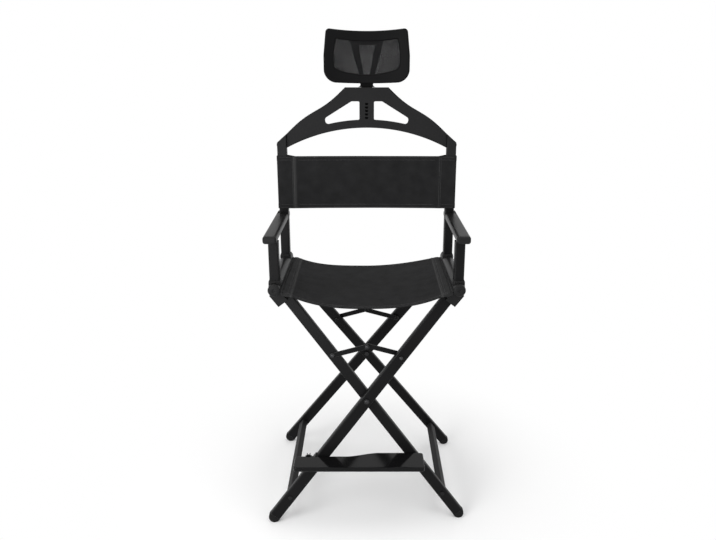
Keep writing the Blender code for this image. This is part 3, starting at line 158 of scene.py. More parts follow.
class Slot(Enum):
    """Material slots of the record."""

    FRAME = "frame"
    FITTINGS = "fittings"
    HARDWARE = "hardware"
    CANVAS = "canvas"
    MESH = "mesh"
    GLOSS = "gloss"


class Closing(Enum):
    """How a grid closes: not at all, each line on itself with filled ends, or both ways."""

    OPEN = "open"
    CAPPED = "capped"
    RING = "ring"


# ---------------------------------------------------------------- shading


def grey(level: float) -> tuple[float, float, float, float]:
    """Opaque grey of a level."""
    return level, level, level, 1.0


class Graph:
    """Adds and joins the nodes of one node tree."""

    MIX_INPUTS = (0, 6, 7)
    MIX_RESULT = 2

    def __init__(self, tree: bpy.types.NodeTree) -> None:
        """Keep the tree."""
        self.tree = tree

    def fill(self, node: bpy.types.Node, inputs: dict[str | int, object]) -> bpy.types.Node:
        """Join sockets to a node's inputs, or set the inputs to plain values.

        Args:
            node: The node.
            inputs: Output sockets, numbers or colours, by the input's name or number.

        Returns:
            The same node.
        """
        for name, value in inputs.items():
            if isinstance(value, bpy.types.NodeSocket):
                self.tree.links.new(value, node.inputs[name])
            else:
                node.inputs[name].default_value = value
        return node

    def node(self, kind: str, inputs: dict[str | int, object] | None = None,
             **values: object) -> bpy.types.Node:
        """Add a node.

        Args:
            kind: Node type name.
            inputs: What its inputs get, by name or number.
            values: Node properties to set.

        Returns:
            The new node.
        """
        made = self.tree.nodes.new(kind)
        for name, value in values.items():
            setattr(made, name, value)
        return self.fill(made, inputs or {})

    def math(self, operation: str, *values: object) -> bpy.types.NodeSocket:
        """Add a Math node over sockets or numbers, and give its value socket."""
        return self.node("ShaderNodeMath", dict(enumerate(values)), operation=operation).outputs[0]

    def span(self, share: bpy.types.NodeSocket, low: float, high: float) -> bpy.types.NodeSocket:
        """Spread a share from 0 to 1 over a range."""
        return self.math("MULTIPLY_ADD", share, high - low, low)

    def noise(self, place: bpy.types.NodeSocket, scale: object, detail: float,
              roughness: float = 0.5) -> bpy.types.NodeSocket:
        """Add a noise texture in the coordinates of a place, and give its value socket."""
        return self.node("ShaderNodeTexNoise", {"Vector": place, "Scale": scale, "Detail": detail,
                                                "Roughness": roughness}).outputs["Fac"]

    def blend(self, share: object, first: object, second: object) -> bpy.types.NodeSocket:
        """Mix two colours by the share of the second, and give the colour socket."""
        inputs = dict(zip(self.MIX_INPUTS, (share, first, second)))
        return self.node("ShaderNodeMix", inputs, data_type="RGBA").outputs[self.MIX_RESULT]

    def group(self, tree: bpy.types.NodeTree, **inputs: object) -> bpy.types.NodeOutputs:
        """Place a node group, with its inputs by name, and give its outputs."""
        return self.node("ShaderNodeGroup", inputs, node_tree=tree).outputs


class Effects:
    """Surface effects that several finishes share, each a node group that is built once."""

    def __init__(self) -> None:
        """Build the groups."""
        self.grain = self._grain()
        self.edges = self._edges()
        self.dust = self._dust()
        self.weave = self._weave()

    @staticmethod
    def _tree(name: str, inputs: tuple[str, ...], outputs: tuple[str, ...]
              ) -> tuple[Graph, bpy.types.NodeOutputs, bpy.types.Node]:
        """Make an empty group; sockets named Vector or Normal are vectors, the others are numbers.

        Args:
            name: Name of the group.
            inputs: Names of the inputs.
            outputs: Names of the outputs.

        Returns:
            The graph, what the group is given, and its output node.
        """
        tree = bpy.data.node_groups.new(name, "ShaderNodeTree")
        for way, labels in (("INPUT", inputs), ("OUTPUT", outputs)):
            for label in labels:
                kind = "Vector" if label in ("Vector", "Normal") else "Float"
                tree.interface.new_socket(label, in_out=way, socket_type="NodeSocket" + kind)
        graph = Graph(tree)
        return graph, graph.node("NodeGroupInput").outputs, graph.node("NodeGroupOutput")

    def _grain(self) -> bpy.types.NodeTree:
        """Fine pebbled skin with a slow drift in tone; gives a height and a tone about 1.

        Returns:
            The group's tree.
        """
        graph, given, out = self._tree("fine_grain", ("Vector", "Scale"), ("Height", "Tone"))
        pebbles = graph.noise(given["Vector"], given["Scale"], detail=2.0)
        drift = graph.noise(given["Vector"], scale=14.0, detail=3.0)
        tone = graph.math("ADD", graph.span(drift, low=0.75, high=1.25),
                          graph.span(pebbles, low=-0.30, high=0.30))
        graph.fill(out, {"Height": pebbles, "Tone": tone})
        return graph.tree

    def _edges(self) -> bpy.types.NodeTree:
        """Lighter edges, where a rounded normal leaves the face's: rubbed paint and a painted
        highlight along them; gives a mask and that normal.

        Returns:
            The group's tree.
        """
        graph, given, out = self._tree("rubbed_edges", ("Vector", "Radius"), ("Mask", "Normal"))
        bevel = graph.node("ShaderNodeBevel", {"Radius": given["Radius"]}, samples=4)
        normals = {0: bevel.outputs["Normal"],
                   1: graph.node("ShaderNodeNewGeometry").outputs["Normal"]}
        along = graph.node("ShaderNodeVectorMath", normals, operation="DOT_PRODUCT")
        turned = graph.math("SUBTRACT", 1.0, along.outputs["Value"])
        patches = graph.noise(given["Vector"], scale=90.0, detail=4.0)
        # The mask lightens the edges: partly rubbed paint, partly a painted highlight.
        mask = graph.math("MULTIPLY", graph.span(turned, low=0.0, high=5.0), patches)
        graph.fill(out, {"Mask": graph.math("MINIMUM", mask, 1.0), "Normal": normals[0]})
        return graph.tree

    def _dust(self) -> bpy.types.NodeTree:
        """Thin dust that lies on faces that look up; gives a mask.

        Returns:
            The group's tree.
        """
        graph, given, out = self._tree("settled_dust", ("Vector",), ("Mask",))
        normal = graph.node("ShaderNodeNewGeometry").outputs["Normal"]
        height = graph.node("ShaderNodeSeparateXYZ", {0: normal}).outputs["Z"]
        rise = graph.math("POWER", graph.math("MAXIMUM", height, 0.0), 3.0)
        flecks = graph.noise(given["Vector"], scale=60.0, detail=6.0, roughness=0.7)
        graph.fill(out, {"Mask": graph.math("MULTIPLY", rise, flecks)})
        return graph.tree

    def _weave(self) -> bpy.types.NodeTree:
        """Plain weave, its threads over each other in turn; gives a height and a tone about 1, with
        painted shade where the threads lie low.

        Returns:
            The group's tree.
        """
        graph, given, out = self._tree("plain_weave", ("Vector", "Threads"), ("Height", "Tone"))
        parts = graph.node("ShaderNodeSeparateXYZ", {0: given["Vector"]}).outputs
        turns = graph.math("MULTIPLY", given["Threads"], math.pi)
        warp, weft = (graph.math("SINE", graph.math("MULTIPLY", parts[axis], turns))
                      for axis in ("X", "Y"))
        over = graph.math("MULTIPLY", warp, weft)
        above, below = (graph.math("MULTIPLY", graph.math("ABSOLUTE", thread),
                                   graph.span(over, low=0.6, high=crossing))
                        for thread, crossing in ((warp, 1.0), (weft, 0.2)))
        height = graph.math("MAXIMUM", above, below)
        fuzz = graph.noise(given["Vector"], scale=26.0, detail=4.0)
        # Painted shade: the tone drops where the threads lie low; the fuzz is random tone.
        tone = graph.math("MULTIPLY", graph.span(height, low=0.65, high=1.15),
                          graph.span(fuzz, low=0.55, high=1.45))
        graph.fill(out, {"Height": height, "Tone": tone})
        return graph.tree


@dataclass(frozen=True)
class Finish:
    """Surface whose colour, roughness and relief come from the shared effects."""

    name: str
    colour: tuple[float, float, float]

    def inputs(self, graph: Graph, effects: Effects) -> dict[str, object]:
        """What the shader's inputs get, by their names, as each kind of finish says."""
        raise NotImplementedError

    def toned(self, graph: Graph, tone: bpy.types.NodeSocket) -> bpy.types.NodeSocket:
        """The finish's colour times a tone."""
        inputs = {0: self.colour, "Scale": tone}
        return graph.node("ShaderNodeVectorMath", inputs, operation="SCALE").outputs[0]

    def material(self, effects: Effects) -> bpy.types.Material:
        """Build the material.

        Args:
            effects: Shared node groups.

        Returns:
            The new material.
        """
        made = bpy.data.materials.new(self.name)
        made.use_nodes = True
        graph = Graph(made.node_tree)
        graph.fill(made.node_tree.nodes["Principled BSDF"], self.inputs(graph, effects))
        return made


@dataclass(frozen=True)
class HardFinish(Finish):
    """Painted, moulded or plated surface: grain, tone drift, lighter edges that are rubbed paint
    and a painted highlight, and a little dust.
    """

    roughness: float
    metallic: float = 0.0
    specular: float = 0.3
    grain: float = 1400.0
    grain_height: float = 0.00003
    grain_strength: float = 0.6
    matt_drift: float = 0.12
    edge_radius: float = 0.0009
    # Grey of the lighter edges: rubbed paint, and a painted highlight along them.
    edge_wear_and_highlight: float = 0.06
    dust: float = 0.04
    dust_colour: tuple[float, ...] = (0.32, 0.31, 0.30, 1.0)

    def inputs(self, graph: Graph, effects: Effects) -> dict[str, object]:
        """Grain tones the colour and the roughness; lighter edges, rubbed and painted highlight,
        and dust are laid over it.

        Args:
            graph: Graph of the material.
            effects: Shared node groups.

        Returns:
            What each input gets, by its name.
        """
        place = graph.node("ShaderNodeTexCoord").outputs["Object"]
        grain = graph.group(effects.grain, Vector=place, Scale=self.grain)
        edges = graph.group(effects.edges, Vector=place, Radius=self.edge_radius)
        dust = graph.group(effects.dust, Vector=place)
        # Edges lightened towards a grey: rubbed paint, and a painted highlight.
        rubbed_and_highlit = graph.blend(edges["Mask"], self.toned(graph, grain["Tone"]),
                             grey(self.edge_wear_and_highlight))
        dusty = graph.math("MULTIPLY", dust["Mask"], self.dust)
        matt = graph.math("MULTIPLY_ADD", grain["Tone"], self.matt_drift,
                          self.roughness - self.matt_drift)
        bump = graph.node("ShaderNodeBump", {
            "Strength": self.grain_strength, "Distance": self.grain_height,
            "Height": grain["Height"], "Normal": edges["Normal"]})
        return {"Base Color": graph.blend(dusty, rubbed_and_highlit, self.dust_colour),
                "Roughness": graph.math("ADD", matt, dusty), "Normal": bump.outputs["Normal"],
                "Metallic": self.metallic, "Specular IOR Level": self.specular}


@dataclass(frozen=True)
class ClothFinish(Finish):
    """Woven cloth in the cloth coordinates of its piece; the third one says how far it is
    lightened, by wear and by a painted highlight on raised seams.
    """

    threads: float = 1300.0
    height: float = 0.00012
    height_strength: float = 0.7
    # Grey of the lighter places: wear, and a painted highlight on raised seams.
    rubbed_and_highlit: float = 0.045
    sheen: float = 0.03
    roughness: float = 0.9
    matt_drift: float = 0.08
    specular: float = 0.05
    dust: float = 0.004
    dust_colour: tuple[float, ...] = (0.30, 0.29, 0.28, 1.0)

    def inputs(self, graph: Graph, effects: Effects) -> dict[str, object]:
        """The weave tones the colour and the roughness; lighter places, worn and painted highlight,
        and dust are laid over it.

        Args:
            graph: Graph of the material.
            effects: Shared node groups.

        Returns:
            What each input gets, by its name.
        """
        place = graph.node("ShaderNodeAttribute", attribute_name="cloth").outputs["Vector"]
        weave = graph.group(effects.weave, Vector=place, Threads=self.threads)
        dust = graph.group(effects.dust, Vector=place)
        # Lightened places: wear, and a painted highlight along raised seams.
        wear_and_highlight = graph.node("ShaderNodeSeparateXYZ", {0: place}).outputs["Z"]
        worn_and_highlit = graph.blend(graph.math("MULTIPLY", wear_and_highlight, weave["Tone"]),
                           self.toned(graph, weave["Tone"]), grey(self.rubbed_and_highlit))
        dusty = graph.math("MULTIPLY", dust["Mask"], self.dust)
        bump = graph.node("ShaderNodeBump", {
            "Strength": self.height_strength, "Distance": self.height, "Height": weave["Height"]})
        return {"Base Color": graph.blend(dusty, worn_and_highlit, self.dust_colour),
                "Roughness": graph.math("MULTIPLY_ADD", weave["Tone"], -self.matt_drift,
                                        self.roughness + self.matt_drift),
                "Normal": bump.outputs["Normal"], "Specular IOR Level": self.specular,
                "Sheen Weight": self.sheen}


# Its light edges are partly a painted highlight along the edges of the legs and rails.
SATIN_PAINT = HardFinish(
    "satin_black_paint", (0.0055, 0.0055, 0.0058), roughness=0.36, specular=0.085,
    edge_radius=0.0014, edge_wear_and_highlight=0.15)
# Its wide, light edges paint a highlight along the lips of the tube's groove.
TUBE_PAINT = HardFinish(
    "tube_black_paint", (0.0062, 0.0062, 0.0065), roughness=0.36, specular=0.085,
    edge_radius=0.0022, edge_wear_and_highlight=0.16)
MOULDED = HardFinish(
    "moulded_black_plastic", (0.0085, 0.0085, 0.0088), roughness=0.50, specular=0.14,
    grain=900.0, grain_height=0.00006, edge_wear_and_highlight=0.04)
TEXTURED_PAINT = HardFinish(
    "textured_black_paint", (0.0104, 0.0104, 0.0108), roughness=0.56, specular=0.13,
    grain=420.0, grain_height=0.00012, edge_wear_and_highlight=0.06)
RUBBER = HardFinish(
    "black_foot_rubber", (0.009, 0.009, 0.009), roughness=0.72, specular=0.1,
    grain=700.0, grain_height=0.00008, edge_wear_and_highlight=0.02, dust=0.1)
DARK_STEEL = HardFinish(
    "blackened_steel", (0.030, 0.030, 0.031), roughness=0.34, metallic=0.85, specular=0.5,
    grain=2200.0, grain_height=0.00001, edge_wear_and_highlight=0.10, dust=0.03)
BRIGHT_STEEL = HardFinish(
    "plated_steel", (0.062, 0.062, 0.065), roughness=0.32, metallic=1.0, specular=0.5,
    grain=2600.0, grain_height=0.00001, edge_radius=0.0004, edge_wear_and_highlight=0.13, dust=0.02)
GLOSSY = HardFinish(
    "glossy_black_plastic", (0.0035, 0.0035, 0.0038), roughness=0.10, specular=0.13,
    grain=300.0, grain_height=0.000003, edge_radius=0.0005, edge_wear_and_highlight=0.012, dust=0.012)
RIM_PLASTIC = HardFinish(
    "headrest_rim_plastic", (0.0048, 0.0048, 0.0051), roughness=0.5, specular=0.06,
    grain=1100.0, grain_height=0.00005, edge_wear_and_highlight=0.02, dust=0.03)
CANVAS = ClothFinish("black_canvas", (0.0155, 0.0155, 0.016))
THREAD = ClothFinish("black_sewing_thread", (0.080, 0.080, 0.081), threads=2600.0, height=0.00006)
NETTING = ClothFinish("black_netting", (0.0125, 0.0125, 0.013), threads=3000.0, height=0.00005)


class Wardrobe:
    """Builds each finish once and hands out its material."""

    def __init__(self) -> None:
        """Build the shared effects."""
        self.effects = Effects()
        self.made: dict[str, bpy.types.Material] = {}

    def get(self, finish: Finish) -> bpy.types.Material:
        """Material of a finish, built at its first use."""
        if finish.name not in self.made:
            self.made[finish.name] = finish.material(self.effects)
        return self.made[finish.name]


# ---------------------------------------------------------------- surfaces


def unit(values: Array) -> Array:
    """Vectors divided by their lengths."""
    return values / np.linalg.norm(values, axis=-1, keepdims=True)


def smooth_step(value: Array, width: float) -> Array:
    """Soft step from 0 to 1 as the value passes zero, over about four widths."""
    return 0.5 + 0.5 * np.tanh(value / width)


def bell(value: Array, width: float) -> Array:
    """Bell curve: 1 where the value is zero, and fading with the square of the value's widths."""
    return np.exp(-(value / width) ** 2)


def wave_sum(waves: Waves, u: Array, v: Array) -> Array:
    """Sum of waves: each a strength times the sine of two rates times v and u, plus a start."""
    return sum(strength * np.sin(along * v + across * u + start)
               for strength, along, across, start in waves)


def full_turn(count: int) -> Array:
    """Angles of even steps round a circle."""
    return np.arange(count) * 2.0 * math.pi / count


def rounding(radius: float, count: int) -> tuple[Array, Array]:
    """Distances of a quarter round from its two faces: the radius less its cosine, or its sine."""
    turn = np.linspace(0.0, math.pi / 2, count)
    return radius * (1.0 - np.cos(turn)), radius * (1.0 - np.sin(turn))


def hemmed_shares(hem: float, fine: int, coarse: int) -> Array:
    """Shares from 0 to 1: fine steps over a hem at each end, and coarse ones between.

    Args:
        hem: Share that a hem takes up.
        fine: Points of a hem.
        coarse: Points from hem to hem.

    Returns:
        The shares.
    """
    near = np.linspace(0.0, hem, fine)
    between = np.linspace(hem, 1.0 - hem, coarse)[1:-1]
    return np.concatenate((near, between, 1.0 - near[::-1]))


def line_reach(points: Array) -> Array:
    """Distance of each point of a line from its start, along the line."""
    steps = np.linalg.norm(np.diff(points, axis=0), axis=1)
    return np.concatenate(([0.0], np.cumsum(steps)))


def loop_normals(loop: Array) -> Array:
    """Unit normals of a closed flat loop, outwards where it runs anticlockwise."""
    way = unit(np.roll(loop, -1, axis=0) - np.roll(loop, 1, axis=0))
    return np.stack((way[:, 1], -way[:, 0]), axis=1)


def surface_frame(surface: Callable[[Array, Array], Array], u: Array, v: Array,
                  step: float = 1e-4) -> tuple[Array, Array]:
    """Points and normals of a surface: the normal stands on small steps along both parameters.

    Args:
        surface: Function of two parameters.
        u: First parameter.
        v: Second parameter.
        step: Small step.

    Returns:
        Points and unit normals.
    """
    along = surface(u + step, v) - surface(u - step, v)
    across = surface(u, v + step) - surface(u, v - step)
    return surface(u, v), unit(np.cross(along, across))


def rounded_ring(width: float, depth: float, radius: float, base_radius: float | None = None,
                 corner_steps: int = 6, edge_steps: int = 6) -> Array:
    """Rectangle about the middle with round corners: four arcs joined by straight, even runs.

    Args:
        width: Full first size.
        depth: Full second size.
        radius: Radius of the two corners on the positive second side.
        base_radius: Radius of the two others, the same where it isn't given.
        corner_steps: Steps of an arc.
        edge_steps: Steps of a straight run.

    Returns:
        Points in two coordinates, anticlockwise.
    """
    base = radius if base_radius is None else base_radius
    radii = np.array((radius, radius, base, base))[:, None]
    signs = np.array(((1, 1), (-1, 1), (-1, -1), (1, -1)))
    quarters = np.arange(4)[:, None] * math.pi / 2
    turns = np.linspace(0.0, math.pi / 2, corner_steps + 1)[None] + quarters
    centres = signs * (np.array((width, depth)) / 2 - radii)
    arcs = centres[:, None] + radii[:, :, None] * np.stack((np.cos(turns), np.sin(turns)), axis=-1)
    start, stop = arcs[:, -1:], np.roll(arcs[:, :1], -1, axis=0)
    runs = start + (stop - start) * np.linspace(0.0, 1.0, edge_steps + 1)[None, 1:-1, None]
    return np.concatenate((arcs, runs), axis=1).reshape(-1, 2)


def lathe(profile: Array, origin: Array, count: int, upright: bool = False) -> Array:
    """Profile turned round an axis: each of its points runs round a circle of its radius.

    Args:
        profile: Rows of radius and distance along the axis.
        origin: Point on the axis from which the distance counts.
        count: Points of a circle.
        upright: Whether the axis stands upright; else it runs from front to rear.

    Returns:
        Grid of points, one row for each profile point.
    """
    turns = full_turn(count)
    radius, along = profile[:, :1], np.repeat(profile[:, 1:], count, axis=1)
    first, second = radius * np.cos(turns), radius * np.sin(turns)
    order = (first, second, along) if upright else (first, along, second)
    return np.stack(order, axis=-1) + origin


def grid_quads(rows: int, columns: int, closing: Closing) -> Array:
    """Quads of a grid of points; where it closes, the last line or point joins the first.

    Args:
        rows: Lines of the grid.
        columns: Points in a line.
        closing: How the grid closes.

    Returns:
        Point numbers, four to a face.
    """
    row, column = np.meshgrid(np.arange(rows if closing is Closing.RING else rows - 1),
                              np.arange(columns - 1 if closing is Closing.OPEN else columns),
                              indexing="ij")
    next_row, next_column = (row + 1) % rows, (column + 1) % columns
    quads = (row * columns + column, next_row * columns + column,
             next_row * columns + next_column, row * columns + next_column)
    return np.stack(quads, axis=-1).reshape(-1, 4)


@dataclass
class Shell:
    """Points, faces and cloth coordinates of one piece, gathered from several surfaces."""

    points: list[Array] = field(default_factory=list)
    faces: list[Array] = field(default_factory=list)
    cloth: list[Array] = field(default_factory=list)
    count: int = 0

    def add(self, points: Array, faces: list[Array], cloth: Array | None = None) -> "Shell":
        """Take in a surface.

        Args:
            points: Its points, in any grid shape.
            faces: Arrays of point numbers, counted from the surface's first point.
            cloth: Cloth coordinates of the points in metres, zero where they aren't given.

        Returns:
            This shell.
        """
        flat = points.reshape(-1, 3)
        self.points.append(flat)
        self.faces.extend(face + self.count for face in faces)
        self.cloth.append(np.zeros_like(flat) if cloth is None else cloth.reshape(-1, 3))
        self.count += len(flat)
        return self

    def grid(self, points: Array, closing: Closing, cloth: Array | None = None) -> "Shell":
        """Take in a grid surface.

        Args:
            points: Rows of points.
            closing: How the grid closes.
            cloth: Cloth coordinates of the points.

        Returns:
            This shell.
        """
        rows, columns = points.shape[:2]
        faces = [grid_quads(rows, columns, closing)]
        if closing is Closing.CAPPED:
            ring = np.arange(columns)[None]
            faces += [ring, ring + (rows - 1) * columns]
        return self.add(points, faces, cloth)

    def bars(self, points: Array, cloth: Array) -> "Shell":
        """Take in many bars at once, each a tube of rings with filled ends.

        Args:
            points: Points of each ring of each bar.
            cloth: Cloth coordinates of the points.

        Returns:
            This shell.
        """
        count, rings, columns = points.shape[:3]
        base = np.arange(count)[:, None, None] * rings * columns
        quads = grid_quads(rings, columns, Closing.CAPPED)[None] + base
        ends = np.arange(columns) + np.array((0, (rings - 1) * columns))[:, None] + base
        return self.add(points, [quads.reshape(-1, 4), ends.reshape(-1, columns)], cloth)

    def sheet(self, top: Array, base: Array, cloth: Array) -> "Shell":
        """Take in a closed sheet between two grids: both faces, and a rim round them.

        Args:
            top: Grid of one face.
            base: Grid of the other face.
            cloth: Cloth coordinates of the grid.

        Returns:
            This shell.
        """
        rows, columns = top.shape[:2]
        size = rows * columns
        numbers = np.arange(size).reshape(rows, columns)
        loop = np.concatenate((numbers[0], numbers[1:, -1], numbers[-1, -2::-1],
                               numbers[-2:0:-1, 0]))
        after = np.roll(loop, -1)
        quads = grid_quads(rows, columns, Closing.OPEN)
        rim = np.stack((loop, after, after + size, loop + size), axis=1)
        return self.add(np.stack((top, base)), [quads, quads[:, ::-1] + size, rim],
                        np.stack((cloth, cloth)))

    def build(self, name: str, material: bpy.types.Material,
              sharp: float = SHARP_ANGLE) -> bpy.types.Object:
        """Turn the gathered surfaces into an object at the origin.

        Args:
            name: Name of the piece.
            material: Its material.
            sharp: Angle in degrees past which an edge stays sharp.

        Returns:
            The new object.
        """
        points, cloth = (np.concatenate(values).astype(np.float32).ravel()
                         for values in (self.points, self.cloth))
        corners = np.concatenate([face.ravel() for face in self.faces])
        sizes = np.concatenate([np.full(len(face), face.shape[1]) for face in self.faces])
        mesh = bpy.data.meshes.new(name)
        mesh.vertices.add(self.count)
        mesh.vertices.foreach_set("co", points)
        mesh.loops.add(len(corners))
        mesh.loops.foreach_set("vertex_index", corners.astype(np.int32))
        mesh.polygons.add(len(sizes))
        mesh.polygons.foreach_set("loop_start", (np.cumsum(sizes) - sizes).astype(np.int32))
        mesh.update(calc_edges=True)
        mesh.attributes.new("cloth", "FLOAT_VECTOR", "POINT")
        mesh.attributes["cloth"].data.foreach_set("vector", cloth)
        work = bmesh.new()
        work.from_mesh(mesh)
        bmesh.ops.recalc_face_normals(work, faces=work.faces)
        work.to_mesh(mesh)
        work.free()
        mesh.shade_smooth()
        mesh.set_sharp_from_angle(angle=math.radians(sharp))
        mesh.materials.append(material)
        made = bpy.data.objects.new(name, mesh)
        bpy.context.scene.collection.objects.link(made)
        return made


@dataclass(frozen=True)
class Stitching:
    """Row of sewn stitches: short arched threads, each a small bar of five rings."""

    pitch: float = 0.0042
    length: float = 0.0032
    radius: float = 0.00042
    places: tuple[float, ...] = (-0.5, -0.38, 0.0, 0.38, 0.5)
    girths: tuple[float, ...] = (0.35, 0.9, 1.0, 0.9, 0.35)
    lifts: tuple[float, ...] = (-0.5, 0.25, 0.55, 0.25, -0.5)
    sides: int = 6

    def lay(self, shell: Shell, points: Array, normals: Array) -> None:
        """Sew along a line: stitches of even pitch, each a bar whose radius shrinks to its ends.

        Args:
            shell: Shell that takes the stitches.
            points: Points of the line on the cloth.
            normals: Normals of the cloth there.
        """
        reach = line_reach(points)
        stops = np.arange(self.pitch / 2, reach[-1], self.pitch)

        def at(values: Array, shift: float = 0.0) -> Array:
            """Values of the line at the stitches, or a shift past them."""
            return np.stack([np.interp(stops + shift, reach, part) for part in values.T], axis=1)

        step = self.pitch / 4
        way = unit(at(points, step) - at(points, -step))[:, None, None]
        up = at(normals)[:, None, None]
        along, thick, lift = (np.array(values)[:, None] * size for values, size in (
            (self.places, self.length), (self.girths, self.radius), (self.lifts, self.radius)))
        turns = full_turn(self.sides)
        across, above = thick * np.cos(turns), thick * np.sin(turns) + lift
        bars = (at(points)[:, None, None] + way * along[..., None]
                + np.cross(up, way) * across[..., None] + up * above[..., None])
        shell.bars(bars, bars * (1.0, 1.0, 0.0))


@dataclass(frozen=True)
class SubAssembly:
    """Part of the chair whose pieces are built and dressed together."""

    wardrobe: Wardrobe

    def put(self, shell: Shell, name: str, finish: Finish, body: str, slot: Slot, *nodes: str,
            sharp: float = SHARP_ANGLE) -> bpy.types.Object:
        """Build a piece, dress it and put it on its body.

        Args:
            shell: Its surfaces.
            name: Its name.
            finish: Its finish.
            body: Body that it rides on.
            slot: Material slot of the record; not used.
            nodes: CAD nodes that it stands for.
            sharp: Angle in degrees past which an edge stays sharp.

        Returns:
            The new piece.
        """
        piece = shell.build(name, self.wardrobe.get(finish), sharp)
        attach(piece, body)
        if nodes:
            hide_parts(*nodes)
        LOG.info("piece %s on %s: %d faces", piece.name, body, len(piece.data.polygons))
        return piece


# ---------------------------------------------------------------- soft goods


@dataclass(frozen=True)
class StretchedCanvas(SubAssembly):
    """Canvas stretched across the chair: a middle surface of two shares, thickened and sewn."""

    thickness: float = 0.0018
    hem_thickness: float = 0.0008
    row_end: float = 0.955
    row_margin: float = 0.012
    row_inset: float = 0.003

    def middle(self, u: Array, v: Array) -> Array:
        """Points of the middle surface, which each canvas gives, at shares across and along."""
        raise NotImplementedError

    def half_thickness(self, u: Array, v: Array) -> Array:
        """Distances of the faces from the middle surface, which each canvas gives."""
        raise NotImplementedError

    def pocket(self, u: Array) -> Array:
        """Depth of a pocket behind the cloth: none, unless a canvas has one."""
        return np.zeros_like(u)

    def faces(self, u: Array, v: Array) -> tuple[Array, Array, Array]:
        """Both faces: the middle surface moved along its normals by the half thickness.

        Args:
            u: Share across.
            v: Share from edge to edge.

        Returns:
            Points of the two faces, and normals of the first.
        """
        points, normals = surface_frame(self.middle, u, v)
        half = self.half_thickness(u, v)[..., None]
        back = half + self.pocket(u)[..., None]
        return points + normals * half, points - normals * back, normals

    def hem_rows(self, size: float, insets: tuple[float, float],
                 count: int) -> list[tuple[Array, Array]]:
        """Shares u and v of lines across a cloth of a size, at insets from both its edges."""
        wide = np.linspace(-self.row_end, self.row_end, count)
        return [(wide, np.full_like(wide, abs(start - inset / size)))
                for start in (0.0, 1.0) for inset in insets]

    def sewn(self, rows: Iterable[tuple[Array, Array]]) -> Shell:
        """Sew rows of stitches on both faces.

        Args:
            rows: Shares u and v of each row.

        Returns:
            The stitches.
        """
        shell, sewing = Shell(), Stitching()
        for u, v in rows:
            face, back, normals = self.faces(u, v)
            sewing.lay(shell, face, normals)
            sewing.lay(shell, back, -normals)
        return shell


